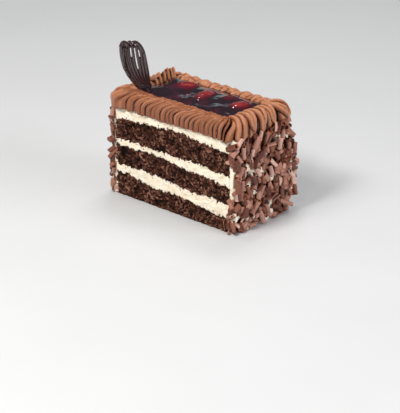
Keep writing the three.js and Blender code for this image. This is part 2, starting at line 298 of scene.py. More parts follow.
def makeFloor():
    material, tree, shader = nodesFor("paleTable")
    speck = noiseAt(tree, 9, 4)
    base = studio["floorColour"]
    colour = ramp(tree, speck, [(0.3, tuple(c * 0.97 for c in base)), (0.7, base)])
    tree.links.new(colour, shader.inputs["Base Color"])
    setAll(shader, {"Roughness": 0.55})
    mesh = bpy.data.meshes.new("floor")
    s = studio["floorSize"]
    mesh.from_pydata([(-s, -s, 0), (s, -s, 0), (s, s, 0), (-s, s, 0)], [], [(0, 1, 2, 3)])
    mesh.materials.append(material)
    floor = bpy.data.objects.new("floor", mesh)
    floor.location.z = -0.0002
    bpy.context.scene.collection.objects.link(floor)


makeStudio()
makeFloor()
print("studio ready")


def spongeFinish():
    material, tree, shader = nodesFor("darkSponge")
    fine = noiseAt(tree, 900, 4, 0.6)
    # colour follows the crumb relief: painted shade in the pits and painted highlight on the crumb tops
    colour = ramp(tree, mark(tree, "height"), [(0.0, tone(16, 5, 2)), (0.4, tone(38, 17, 10)), (0.7, tone(62, 34, 24)),
                                               (0.88, tone(98, 62, 48)), (1.0, tone(150, 110, 92))])
    mottle = ramp(tree, fine, [(0.3, (0.5, 0.46, 0.44)), (0.7, (1.35, 1.3, 1.25))])
    tree.links.new(mixed(tree, "MULTIPLY", 0.7, colour, mottle), shader.inputs["Base Color"])
    roughened(tree, shader, fine, [(0.35, 0.95), (0.65, 0.6)])
    setAll(shader, {"Specular IOR Level": 0.18})
    bumped(tree, shader, noiseAt(tree, 1600, 3, 0.6), 0.5, 0.0003)
    return material


def creamFinish():
    material, tree, shader = nodesFor("whippedCream")
    soilAndShade = mark(tree, "soilAndShade")  # cocoa and crumbs rubbed into it, and painted shade in its valleys and under the shavings
    colour = ramp(tree, noiseAt(tree, 160), [(0.3, tone(244, 228, 202)), (0.7, tone(254, 243, 226))])
    colour = mixed(tree, "MIX", soilAndShade, colour, ramp(tree, soilAndShade, [(0.0, tone(160, 124, 96)), (1.0, tone(60, 24, 16))]))
    tree.links.new(colour, shader.inputs["Base Color"])
    setAll(shader, {"Roughness": 0.5, "Specular IOR Level": 0.35, "Subsurface Weight": 0.25,
                    "Subsurface Radius": (0.0014, 0.0011, 0.0008), "Subsurface Scale": 1})
    bumped(tree, shader, noiseAt(tree, 1500, 3, 0.6), 0.35, 0.0003)
    return material


def buttercreamFinish():
    material, tree, shader = nodesFor("chocolateButtercream")
    fine = noiseAt(tree, 700, 4, 0.6)
    paintedShade = mark(tree, "paintedShade")
    colour = ramp(tree, noiseAt(tree, 90), [(0.3, tone(128, 77, 48)), (0.7, tone(152, 95, 64))])
    # painted highlight on the rims at 0, painted shade deepening into the grooves towards 1
    ridge = ramp(tree, paintedShade, [(0.0, tone(206, 146, 112)), (0.1, tone(144, 86, 55)), (0.4, tone(98, 50, 36)),
                                (0.75, tone(28, 8, 8))])
    colour = mixed(tree, "MIX", ramp(tree, paintedShade, [(0.0, (0.55,) * 3), (0.5, (1.0,) * 3)]), colour, ridge)
    mottle = ramp(tree, fine, [(0.3, (0.8, 0.78, 0.76)), (0.7, (1.12, 1.1, 1.08))])
    tree.links.new(mixed(tree, "MULTIPLY", 0.35, colour, mottle), shader.inputs["Base Color"])
    roughened(tree, shader, fine, [(0.3, 0.46), (0.7, 0.32)])
    setAll(shader, {"Specular IOR Level": 0.45, "Subsurface Weight": 0.08,
                    "Subsurface Radius": (0.0010, 0.0005, 0.0003), "Subsurface Scale": 1})
    bumped(tree, shader, fine, 0.25, 0.0003)
    return material


def shavingFinish():
    material, tree, shader = nodesFor("rolledChocolate")
    streak = noiseAt(tree, 500, 4, 0.6, (1, 1, 0.3))
    colour = ramp(tree, mark(tree, "tint"), [(0.0, tone(82, 36, 24)), (0.45, tone(144, 90, 70)),
                                             (0.8, tone(184, 134, 116)), (1.0, tone(218, 178, 162))])
    mottle = ramp(tree, streak, [(0.3, (0.7, 0.68, 0.66)), (0.7, (1.15, 1.12, 1.1))])
    colour = mixed(tree, "MULTIPLY", 0.5, colour, mottle)
    # painted shade on the inner face of each roll
    colour = mixed(tree, "MIX", mark(tree, "inside"), colour, tone(96, 48, 28))
    # painted glow of light through the thin edges of each shaving
    colour = mixed(tree, "MIX", mark(tree, "edgeGlow"), colour, tone(168, 92, 52))
    tree.links.new(colour, shader.inputs["Base Color"])
    roughened(tree, shader, streak, [(0.3, 0.5), (0.7, 0.36)])
    setAll(shader, {"Specular IOR Level": 0.5})
    bumped(tree, shader, streak, 0.3, 0.0002)
    return material


def glazeFinish():
    material, tree, shader = nodesFor("cherryGel")
    colour = ramp(tree, noiseAt(tree, 120), [(0.32, tone(18, 5, 14)), (0.5, tone(30, 7, 21)), (0.7, tone(66, 13, 34))])
    colour = mixed(tree, "MIX", mark(tree, "nearCherry"), colour, tone(104, 16, 30))
    tree.links.new(colour, shader.inputs["Base Color"])
    setAll(shader, {"Roughness": 0.09, "IOR": 1.5, "Coat Weight": 1.0, "Coat Roughness": 0.04})
    bumped(tree, shader, noiseAt(tree, 70, 0), 0.05, 0.001)
    return material


def cherryFinish():
    material, tree, shader = nodesFor("glazedCherry")
    mottled = noiseAt(tree, 320, 4, 0.6)
    colour = ramp(tree, mottled, [(0.3, tone(84, 10, 20)), (0.52, tone(132, 28, 32)), (0.78, tone(184, 72, 60))])
    colour = mixed(tree, "MIX", mark(tree, "tint"), colour, tone(74, 10, 34))
    tree.links.new(colour, shader.inputs["Base Color"])
    setAll(shader, {"Roughness": 0.28, "Coat Weight": 1.0, "Coat Roughness": 0.04, "Subsurface Weight": 0.4,
                    "Subsurface Radius": (0.003, 0.0006, 0.0005), "Subsurface Scale": 1})
    bumped(tree, shader, noiseAt(tree, 500), 0.42, 0.0006)
    return material


def fanFinish():
    material, tree, shader = nodesFor("darkChocolate")
    soft = noiseAt(tree, 220)
    colour = ramp(tree, soft, [(0.3, tone(40, 20, 22)), (0.7, tone(58, 34, 36))])
    tree.links.new(colour, shader.inputs["Base Color"])
    roughened(tree, shader, noiseAt(tree, 700), [(0.3, 0.26), (0.7, 0.16)])
    setAll(shader, {"Specular IOR Level": 0.75, "Coat Weight": 0.5, "Coat Roughness": 0.12})
    bumped(tree, shader, soft, 0.12, 0.0004)
    return material


finish = {
    "sponge": spongeFinish(),
    "cream": creamFinish(),
    "buttercream": buttercreamFinish(),
    "shavings": shavingFinish(),
    "glaze": glazeFinish(),
    "cherry": cherryFinish(),
    "fan": fanFinish(),
}
print("finishes ready")


layers = {
    "names": ["sponge_bottom", "cream_lower", "sponge_middle", "cream_middle", "sponge_top", "cream_top"],
    # top of each layer: height at mid length, fall to the right, sag to both ends, ripple, phase
    "tops": [
        (13.8, 3.2, 0.0, 0.9, 0.4),
        (22.6, 2.3, 0.9, 0.9, 3.3),
        (37.7, 3.0, 2.0, 0.5, 3.4),
        (43.4, 0.2, 1.9, 0.5, 5.2),
        (61.3, -0.3, 4.0, 0.5, 1.1),
    ],
    "rippleLength": 58,
    "rippleTwist": 0.03,
    "spongeStep": 0.296,  # mesh spacing on the cut faces
    "creamStep": 0.34,
    "teeth": 0.75,  # how ragged the line between sponge and cream is
    "spongeRelief": 1.0,
    "creamRelief": 0.5,
}


def layerTop(number, x, y):  # height of a layer's ragged top edge on the cut face at y
    if number < 0:
        return np.zeros(np.shape(x))
    if number == len(layers["tops"]):
        return np.full(np.shape(x), slice_["creamTop"] + slice_["tuck"])
    middle, fall, sag, ripple, phase = layers["tops"][number]
    left, right = slice_["spongeLeft"], slice_["spongeRight"]
    u = (x - (left + right) / 2) / ((right - left) / 2)
    wave = 2 * np.pi * x / layers["rippleLength"] + phase + layers["rippleTwist"] * (y + slice_["halfDepth"])
    smooth = middle - fall * u - sag * u * u + ripple * np.sin(wave)
    side = 300 * (y > 0) + number * 40
    teeth = roughNoise(x / 2.6 + side, x * 0 + side, 21 + number, 3, 0.75)
    tongues = np.maximum(0, softNoise(x / 5.0 + side, x * 0, 47 + number)) ** 2
    fur = softNoise(x / 0.85 + side, x * 0 + 5, 61 + number) + 0.6 * softNoise(x / 0.5 + side, x * 0 + 9, 67 + number)
    return smooth + layers["teeth"] * (2.0 * teeth - 1.1 * tongues + 0.6 * fur + 0.25)


def spongeRelief(x, z, seed):  # how far the torn crumb stands out of the cut face
    warpX = x + 0.45 * softNoise(x / 1.6, z / 1.6, seed + 3)
    warpZ = z + 0.45 * softNoise(x / 1.6 + 40, z / 1.6, seed + 4)
    near, own = crumbNoise(warpX / 1.3, warpZ / 1.15, seed)
    big = np.sqrt(np.maximum(0, 1 - (near / 0.74) ** 2)) * (0.35 + 0.85 * own)
    nearFine, ownFine = crumbNoise(warpX / 0.72, warpZ / 0.66, seed + 30)
    fine = np.sqrt(np.maximum(0, 1 - (nearFine / 0.8) ** 2)) * (0.3 + 0.7 * ownFine)
    pits = blendStep(0.16, 0.6, softNoise(warpX / 1.5, warpZ / 1.25, seed + 50))
    caves = blendStep(0.45, 0.8, softNoise(warpX / 3.6, warpZ / 2.6, seed + 55))
    swell = roughNoise(x / 7.5, z / 6, seed + 60, 2)
    return 0.72 * big + 0.45 * fine - 0.8 * pits - 0.9 * caves + 0.3 * swell


def creamRelief(x, z, seed, toEdge):  # how far the cream stands out, how much cocoa is rubbed into it, and painted shade in its valleys
    lumps = roughNoise(x / 3.4, z / 2.4, seed, 3, 0.6)
    near, own = crumbNoise(x / 1.15 + 0.3 * lumps, z / 0.95, seed + 11)
    curds = np.sqrt(np.maximum(0, 1 - (near / 0.85) ** 2)) * (0.4 + 0.6 * own)
    holes = blendStep(0.6, 0.85, softNoise(x / 1.3, z / 1.1, seed + 23))
    out = 0.15 + layers["creamRelief"] * (1.4 * lumps + 1.1 * curds) - 0.45 * holes - 0.35 * blendStep(0.6, 0, toEdge)
    soilAndShade = blendStep(0.3, 0.8, softNoise(x / 0.8, z / 0.7, seed + 31)) * blendStep(1.3, 0.1, toEdge) * 0.7
    soilAndShade = np.maximum(soilAndShade, 0.35 * blendStep(0.65, 0.9, softNoise(x / 0.9, z / 0.8, seed + 37)))
    # painted shade in the valleys between the lumps
    valleyShade = blendStep(0.35, -0.5, lumps + 0.8 * curds - 0.3)
    nearEdge = blendStep(1.5, 0.2, toEdge) * blendStep(-0.2, 0.6, lumps)
    return out, np.maximum(soilAndShade, 0.16 * valleyShade + 0.3 * nearEdge)


def makeLayer(number):
    name = layers["names"][number]
    isSponge = name.startswith("sponge")
    kind = "sponge" if isSponge else "cream"
    step = layers[kind + "Step"]
    left, right = slice_["spongeLeft"] - 0.2, slice_["spongeRight"] + 0.2
    columns = int((right - left) / step)
    x = np.linspace(left, right, columns)
    tallest = float(np.max(layerTop(number, x, x * 0) - layerTop(number - 1, x, x * 0)))
    rows = max(8, int(tallest / step))
    share = np.linspace(0, 1, rows)[:, None]
    faces, marks = [], []
    for side in (-1, 1):
        y = np.full(columns, side * slice_["halfDepth"])
        low = layerTop(number - 1, x, y) - (0.15 if number else 0)
        high = layerTop(number, x, y)
        z = low + (np.maximum(high, low + 0.6) - low) * share
        xs = np.broadcast_to(x, z.shape)
        seed = 100 * number + (7 if side > 0 else 0)
        if isSponge:
            relief = spongeRelief(xs, z, seed)
            out = layers["spongeRelief"] * relief - 0.1
            # the relief with some noise, kept for painted shade in the pits and painted highlight on the crumb tops
            height = np.clip((relief + 0.75 + 0.25 * softNoise(xs / 2.1, z / 1.7, seed + 70)) / 1.8, 0, 1)
            marks.append(height.ravel())
        else:
            out, soilAndShade = creamRelief(xs, z, seed, np.minimum(share, 1 - share) * (high - low))
            marks.append(soilAndShade.ravel())
        if number == 0:  # it stands flat
            z = np.maximum(z, 0)
            out = np.where(z < 0.5, out * 0.6, out)
        faces.append(np.stack([xs, y + side * out, z], -1).reshape(-1, 3))
    makePiece("layer_" + name, np.concatenate(faces), slabFaces(columns, rows), finish[kind], [name],
              {"height" if isSponge else "soilAndShade": np.concatenate(marks)})


for layerNumber in range(len(layers["names"])):
    makeLayer(layerNumber)
print("layers made")


coat = {
    "thickness": 3.1,
    "bulge": 1.0,
    "backSwell": 4.2,  # extra below mid height towards the back corner of the right end
    "cornerSwell": 2.8,  # and how far that corner swells backwards
    "swellMiddle": 30, "swellReach": 34,  # the swell's height, and where it ends above and below that
    "lumps": 1.1,
    "step": 0.58,
}


def swollen(z):
    return np.maximum(0, 1 - ((z - coat["swellMiddle"]) / coat["swellReach"]) ** 2)


def coatOut(side, y, z):  # how far the cream stands out from the sponge's end
    rise = 2 * z / slice_["creamTop"] - 1
    barrel = np.maximum(0, 1 - rise * rise)
    toBack = np.clip((y + 5) / 32, 0, 1) if side > 0 else 0
    return coat["thickness"] + coat["bulge"] * barrel + coat["backSwell"] * swollen(z) * toBack ** 2


def backOut(side, z):  # how far the back corner of the right end swells past the cut face
    return coat["cornerSwell"] * swollen(z) if side > 0 else 0.0 * z


def patches(side, t, z):  # high where the cream lies bare between the shavings
    return softNoise(t / 5.5, z / 6.5, 640 + side)


def coatColumn(side, where, y0, t, z):  # one upright line of the coat: t is 0 at the sponge and 1 on the end
    half = slice_["halfDepth"]
    y = np.full(len(z), y0)
    out = coatOut(side, y, z)
    if where == "end":
        lumps = roughNoise(y / 5 + side * 9, z / 4.4, 71, 4, 0.55)
        out = out + coat["lumps"] * (1.2 * lumps + 1.3 * blendStep(0.2, 0.5, patches(side, y + half, z)))
        out = out - 1.2 * np.maximum(0, 1 - (half - abs(y)) / 1.6) ** 2
    else:
        ragged = roughNoise(z / 2.2 + side * 5, z * 0 + 3 * t, 83, 3, 0.6)
        out = np.maximum(out * t - 1.2 * t ** 6 + 0.8 * ragged * (t > 0.3), -0.4)
        y = y + np.sign(y) * (0.25 + 0.35 * roughNoise(out / 1.5, z / 1.6, 91 + (where == "back"), 3))
    if where != "front":
        y = y + backOut(side, z) * (t if where == "back" else np.clip((y0 - half + 5) / 5, 0, 1))
    return out, y


def makeCoat(side):
    end, sideName = (slice_["spongeRight"], "Right") if side > 0 else (slice_["spongeLeft"], "Left")
    half = slice_["halfDepth"]
    top = slice_["creamTop"] + slice_["tuck"]
    rows = int(top / coat["step"])
    z = np.linspace(0, top, rows)
    # seen from above: along the front cut face, round the corner, across the end, and back along the rear face
    steps = np.linspace(0, 1, 7)[:-1]
    columns = [coatColumn(side, "front", -half, t, z) for t in steps]
    columns += [coatColumn(side, "end", y, 1.0, z) for y in np.linspace(-half, half, int(2 * half / coat["step"]))]
    columns += [coatColumn(side, "back", half, t, z) for t in steps[::-1]]
    x = end + side * np.stack([out for out, y in columns], 1)
    outer = np.stack([x, np.stack([y for out, y in columns], 1), np.broadcast_to(z[:, None], x.shape)], -1)
    outer = outer.reshape(-1, 3)
    inner = outer.copy()
    inner[:, 0] = end - side * 0.6
    inner[:, 1] = np.clip(inner[:, 1], -half + 0.3, half - 0.3)
    points = np.concatenate([outer, inner])
    t = points[:, 1] + half
    onFace = (np.abs(points[:, 1]) < half - 0.4) & (side * (points[:, 0] - end) > 1.5)
    specks = 0.3 * blendStep(0.5, 0.9, softNoise(t / 1.2, points[:, 2] / 1.2, 97))
    # dark on the end except in the bare patches: cocoa dust, and painted shade where the shavings cover the cream
    soilAndShade = np.where(onFace, 1 - blendStep(0.2, 0.42, patches(side, t, points[:, 2])), specks)
    makePiece("creamCoat" + sideName, points, slabFaces(len(columns), rows, side < 0), finish["cream"],
              ["cream_end_" + sideName.lower()], {"soilAndShade": soilAndShade})


makeCoat(1)
makeCoat(-1)
print("coats made")


shavings = {
    "acrossStep": 4.1,
    "upStep": 6.3,
    "length": (5.2, 9.6),
    "roll": (1.45, 2.35),  # radius of a roll
    "turns": (0.7, 1.3),
    "sheet": 0.42,  # thickness of the chocolate
    "lean": 30,  # degrees off upright
    "across": 0.2,  # share that lies across
    "flakes": 0.24,  # share that is barely rolled
    "seamIn": 0.62,  # share that turns its open side away from view
    "topLeft": 64.0,
    "topRight": (62.0, 73.5),  # height they reach at the front and at the back of the right end
    "bareStrip": (26.0, 49.0),  # heights between which the cream shows at the front corner
    "onTop": 34,  # how many lie on the others
    "alongFoot": 20,
    "atBackCorner": 26,
    # a few at the front of the right end, laid one by one: along, height, lift, size, flake or not, lean, seam
    "laid": [
        (-1.2, 52.5, -0.2, 1.25, True, 62, 0.1),  # the broad flake over the corner
        (-0.6, 64.0, 0.3, 1.05, False, -62, 0.2),  # the roll tucked under the border's corner
        (2.6, 66.0, 0.6, 1.0, False, -40, 0.2),
        (-1.6, 2.4, -0.2, 1.1, True, 70, 0.2),
        (-2.2, 6.0, -0.3, 1.0, False, 30, 0.2),
    ],
    "seed": 12,
}


def curlShape(rng, scale=1.0, flake=False):  # one rolled shaving along its own Z axis, and its marks
    u = np.array([0, 0.035, 0.12, 0.22, 0.32, 0.42, 0.5, 0.58, 0.68, 0.78, 0.88, 0.965, 1])[None, :]
    v = np.array([-0.5, -0.465, -0.28, 0, 0.28, 0.465, 0.5])[:, None]
    around, along = u.shape[1], v.shape[0]
    length = rng.uniform(*shavings["length"]) * scale
    radius = rng.uniform(*shavings["roll"]) * (1.45 if flake else 1) * scale
    turns = rng.uniform(0.22, 0.4) if flake else rng.uniform(*shavings["turns"])
    tight = rng.uniform(0.3, 0.55) if turns > 0.85 else rng.uniform(0.0, 0.25)
    taper = rng.uniform(-0.2, 0.2)
    skew = rng.uniform(-0.3, 0.3)
    bend = rng.uniform(-0.5, 0.5)
    start = rng.uniform(0, 2 * math.pi)
    angle = 2 * math.pi * turns * (u - 0.5)
    ragged = 0.09 * (scatter(np.arange(around), np.zeros(around), int(rng.integers(1e6)))[None, :] - 0.5)
    z = length * (v * (1 + ragged + 0.1 * np.sin(3 * u + start)) + skew * 0.4 * (u - 0.5))
    r = radius * (1 - tight * u) * (1 + taper * v * 2)
    r = r * (1 + 0.03 * np.sin(9 * angle + start) + 0.04 * np.sin(7 * v + start))
    sideways = bend * (v * 2) ** 2 * 0.8

    def skin(offset):
        rr = r + offset
        return np.stack([rr * np.cos(angle) + sideways, rr * np.sin(angle), z + 0 * rr], -1).reshape(-1, 3)

    half = shavings["sheet"] / 2
    points = np.concatenate([skin(half), skin(-half)])
    edgeGlow = np.zeros((along, around))
    # painted glow at the thin edges, stronger on some shavings
    glow = rng.choice((0.15, 0.35, 0.9), p=(0.5, 0.3, 0.2))
    edgeGlow[0, :] = edgeGlow[-1, :] = glow
    edgeGlow[:, 0] = edgeGlow[:, -1] = glow
    edgeGlow = np.tile(edgeGlow.ravel(), 2)
    # the inner face is marked for painted shade
    inside = np.concatenate([np.zeros(around * along), np.full(around * along, 0.75)])
    middle = np.array([radius * 0.35 if turns < 0.5 else 0, 0, 0])
    return points - middle, slabFaces(around, along), edgeGlow, inside


def turned(points, lean, tip, spin, facing):  # spin on its own axis, tip out, lean sideways, then face outwards
    c, s = math.cos(spin), math.sin(spin)
    p = points @ np.array([[c, s, 0], [-s, c, 0], [0, 0, 1]])
    c, s = math.cos(tip), math.sin(tip)
    p = p @ np.array([[c, 0, -s], [0, 1, 0], [s, 0, c]])
    c, s = math.cos(lean), math.sin(lean)
    p = p @ np.array([[1, 0, 0], [0, c, s], [0, -s, c]])
    c, s = math.cos(facing), math.sin(facing)
    return p @ np.array([[c, s, 0], [-s, c, 0], [0, 0, 1]])


def skinPoint(side, t, z):  # a spot on the cream, t along the end from its front corner, and which way it faces
    half = slice_["halfDepth"]
    endX = slice_["spongeRight"] if side > 0 else slice_["spongeLeft"]
    y = min(max(t - half, -half), half)
    low = min(z, slice_["creamTop"] - 1)
    out = float(coatOut(side, np.array(y), np.array(low)))
    back = float(backOut(side, np.array(low)))
    ahead = 0.0 if side > 0 else math.pi
    toFront, toBack = (-math.pi / 2, math.pi / 2) if side > 0 else (math.pi * 1.5, math.pi / 2)
    if t < 0:
        out, y = out + t, -half
    if t > 2 * half:
        out = out - (t - 2 * half)
    y += back * max(0, min(1, (t - 2 * half + 5) / 5))
    nearFront = 1 - min(1, max(0, (t + 1.2) / 3.6))
    nearBack = min(1, max(0, (t - 2 * half + 2.4) / 3.6))
    facing = ahead + (toFront - ahead) * nearFront + (toBack - ahead) * nearBack
    if z > slice_["creamTop"] - 2:  # above the cream they lean on the border
        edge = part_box("piped_border")[1 if side > 0 else 0].x / mm
        out = max(out, abs(edge - endX) - 1.2)
    return np.array([endX + side * out, y, z]), facing


def makeShavings(side):
    rng = np.random.default_rng(shavings["seed"] + side)
    width = 2 * slice_["halfDepth"]
    name = "shavings_right" if side > 0 else "shavings_left"
    mostX = (cadHigh.x if side > 0 else cadLow.x) / mm + side * 3.3
    lowY, highY = cadLow.y / mm - 0.8, cadHigh.y / mm + 1.7
    points, faces, edgeGlows, innerShades, tints = [], [], [], [], []
    count = 0
    lowStrip, highStrip = shavings["bareStrip"]

    def place(t, z, lift, size=1.0, flake=False, lean=None, seam=None, tip=None):
        nonlocal count
        p, f, edgeGlow, inside = curlShape(rng, size, flake)
        if lean is None:
            lean = rng.normal(0, shavings["lean"])
            if rng.random() < shavings["across"]:
                lean += 75 * rng.choice((-1, 1))
        if seam is None:  # 0 puts the closed side outwards
            hidden = flake or rng.random() < shavings["seamIn"]
            seam = rng.normal(0, 0.7) if hidden else rng.uniform(0, 2 * math.pi)
        tip = rng.normal(-4, 13) if tip is None else tip
        middle, facing = skinPoint(side, t, z)
        p = turned(p, math.radians(lean), math.radians(tip), seam, facing + rng.normal(0, 0.15))
        outward = np.array([math.cos(facing), math.sin(facing), 0])
        reach = np.percentile(p @ outward, 8)
        p = p + middle + outward * (lift - reach)
        p[:, 2] += max(0, 0.1 - p[:, 2].min())
        p[:, 0] -= side * max(0, (side * p[:, 0]).max() - side * mostX)
        p[:, 1] -= max(0, p[:, 1].max() - highY)
        p[:, 1] += max(0, lowY - p[:, 1].min())
        points.append(p)
        faces.append(f + count)
        count += len(p)
        edgeGlows.append(edgeGlow)
        innerShades.append(inside)
        tints.append(np.full(len(p), rng.random()))

    def topAt(t):
        if side < 0:
            return shavings["topLeft"]
        front, back = shavings["topRight"]
        return front + (back - front) * min(1, max(0, t / width)) ** 1.3

    row = 0
    z = 2.6
    while z < 76:
        t = -2.2 + (row % 2) * shavings["acrossStep"] / 2
        while t < width + 1.6:
            spotZ = z + rng.normal(0, 1.5)
            spotT = t + rng.normal(0, 0.9)
            bare = patches(side, np.array(spotT), np.array(spotZ)) > 0.42
            onStrip = spotT < -0.6 and side > 0 and lowStrip < spotZ < highStrip
            if spotZ < topAt(spotT) and not onStrip and not (bare and rng.random() < 0.75):
                place(spotT, spotZ, rng.uniform(-1.3, 0.5), rng.uniform(0.75, 1.12),
                      rng.random() < shavings["flakes"])
            t += shavings["acrossStep"] * rng.uniform(0.82, 1.18)
        z += shavings["upStep"] * 0.78
        row += 1
    for z in np.arange(3.5, 66, 4.3):  # a column over the cream beside the front cut face
        if (side < 0 or not lowStrip < z < highStrip) and rng.random() < 0.88:
            place(-1.5 + rng.normal(0, 0.5), z + rng.normal(0, 0.8), rng.uniform(-1.2, -0.2), rng.uniform(0.6, 0.85),
                  rng.random() < 0.3, rng.normal(0, 35))
    for k in range(shavings["onTop"]):
        place(rng.uniform(1, width), rng.uniform(6, topAt(30) - 4), rng.uniform(0.4, 1.5), rng.uniform(0.7, 1.0),
              rng.random() < 0.3)
    for k in range(shavings["alongFoot"]):
        place(rng.uniform(-1, width), rng.uniform(1.0, 3.0), rng.uniform(-0.4, 1.8), rng.uniform(0.55, 0.9), False,
              90 + rng.normal(0, 25))
    if side > 0:
        for k in range(shavings["atBackCorner"]):
            place(width + rng.uniform(-2.5, 2.5), rng.uniform(12, 64), rng.uniform(0.2, 1.6), rng.uniform(0.8, 1.1),
                  rng.random() < 0.4)
        for choice in shavings["laid"]:
            place(*choice, 0)
    makePiece("chocolateShavings" + ("Right" if side > 0 else "Left"), np.concatenate(points), np.concatenate(faces),
              finish["shavings"], [name],
              {"edgeGlow": np.concatenate(edgeGlows), "inside": np.concatenate(innerShades), "tint": np.concatenate(tints)})
    print("shavings", name, len(points))


makeShavings(1)
makeShavings(-1)


border = {
    "left": -48.5, "right": 49.5, "front": -24.3, "back": 24.3,  # the bag's path along each side
    "corner": 6.5,
    "outerLeft": 8.6, "outerRight": 6.8, "outerFront": 6.4, "outerBack": 6.4,
    "innerLeft": 11.6, "innerRight": 7.6, "innerFront": 9.4, "innerBack": 8.0,
    "cornerReach": 0.45, "backCornerReach": 0.8,
    "leftCornerBulge": 2.2,
    "base": 66.6, "crest": 80.6, "lip": 2.0,  # heights, and how far the lip hangs
    "lipTurn": 0.36,  # how far the section turns on below the base (radians)
    "lowest": 63.2,
    "scallop": 16.5,  # length of one swell of the inner edge
    "lipRise": (2.7, 2.2),  # how much higher the lip ends in front and on the right
    "frontPass": (5.8, 3.5),  # width of one pass at the left and at the right
    "endPass": 4.1,
    "backPass": 4.8,
    "passVaries": (0.72, 1.28),
    "hook": 10.5,  # how far a pass runs on along the crest at its top
    "spread": 7.0,  # how far the right side's passes fan out
    "depth": 3.5,  # grooves between passes
    # small slots: x, z, half width, half height, tilt, depth
    "slots": [(43.4, 73.2, 1.2, 1.5, -0.3, 3.4), (-43.1, 74.5, 0.5, 1.6, -0.7, 1.8), (-32.4, 71.6, 0.7, 0.7, 0.0, 2.2)],
    "seed": 5,
    "columns": 15,
    "rows": 92,
}


def borderSides():  # lengths of a long side, a short side, a corner and the whole path
    b = border
    lengthX = b["right"] - b["left"] - 2 * b["corner"]
    lengthY = b["back"] - b["front"] - 2 * b["corner"]
    arc = math.pi / 2 * b["corner"]
    return lengthX, lengthY, arc, 2 * (lengthX + lengthY) + 4 * arc


def pathAt(s):  # the path's point and its outward direction, for distances s from the front side's left end
    b, c = border, border["corner"]
    lengthX, lengthY, arc, total = borderSides()
    s = np.mod(s, total)
    x0, x1, y0, y1 = b["left"], b["right"], b["front"], b["back"]
    ends = np.cumsum([lengthX, arc, lengthY, arc] * 2)
    starts = np.concatenate([[0], ends[:-1]])
    x, y, turn = np.zeros_like(s), np.zeros_like(s), np.zeros_like(s)
    straights = [(0, x0 + c, y0, 1, 0, -90), (2, x1, y0 + c, 0, 1, 0),
                 (4, x1 - c, y1, -1, 0, 90), (6, x0, y1 - c, 0, -1, 180)]
    for k, px, py, dx, dy, angle in straights:
        here = (s >= starts[k]) & (s < ends[k])
        x = np.where(here, px + dx * (s - starts[k]), x)
        y = np.where(here, py + dy * (s - starts[k]), y)
        turn = np.where(here, angle, turn)
    corners = [(1, x1 - c, y0 + c, -90), (3, x1 - c, y1 - c, 0), (5, x0 + c, y1 - c, 90), (7, x0 + c, y0 + c, 180)]
    for k, px, py, angle in corners:
        here = (s >= starts[k]) & (s < ends[k])
        a = angle + 90 * (s - starts[k]) / arc
        x = np.where(here, px + c * np.cos(np.radians(a)), x)
        y = np.where(here, py + c * np.sin(np.radians(a)), y)
        turn = np.where(here, a, turn)
    return x, y, np.cos(np.radians(turn)), np.sin(np.radians(turn))


def sideShares(nx, ny):  # how much a place belongs to each of the four sides
    return {"Right": np.maximum(nx, 0) ** 2, "Left": np.maximum(-nx, 0) ** 2,
            "Back": np.maximum(ny, 0) ** 2, "Front": np.maximum(-ny, 0) ** 2}


def sideReach(nx, ny):  # how far the border reaches outwards and inwards from its path
    b, share = border, sideShares(nx, ny)
    atCorner = np.abs(2 * nx * ny)
    further = np.where((nx > 0) & (ny > 0), b["backCornerReach"], b["cornerReach"])
    outer = sum(share[k] * b["outer" + k] for k in share) * (1 + further * atCorner)
    inner = sum(share[k] * b["inner" + k] for k in share)
    return outer, inner * (1 - atCorner) + np.minimum(inner, b["corner"] * 0.9) * atCorner


def bump(value, middle, width):  # 1 at the middle, falling away on both sides
    return np.exp(-((value - middle) / width) ** 2)


def standing(y, nx):  # where the left end's passes stand up, most at the back
    return np.clip((y + 12) / 24, 0, 1) * blendStep(0.1, -0.5, nx)


def borderSwell(s, theta):
    return roughNoise(s / 13, theta * 2 + 0 * s, 301, 2)


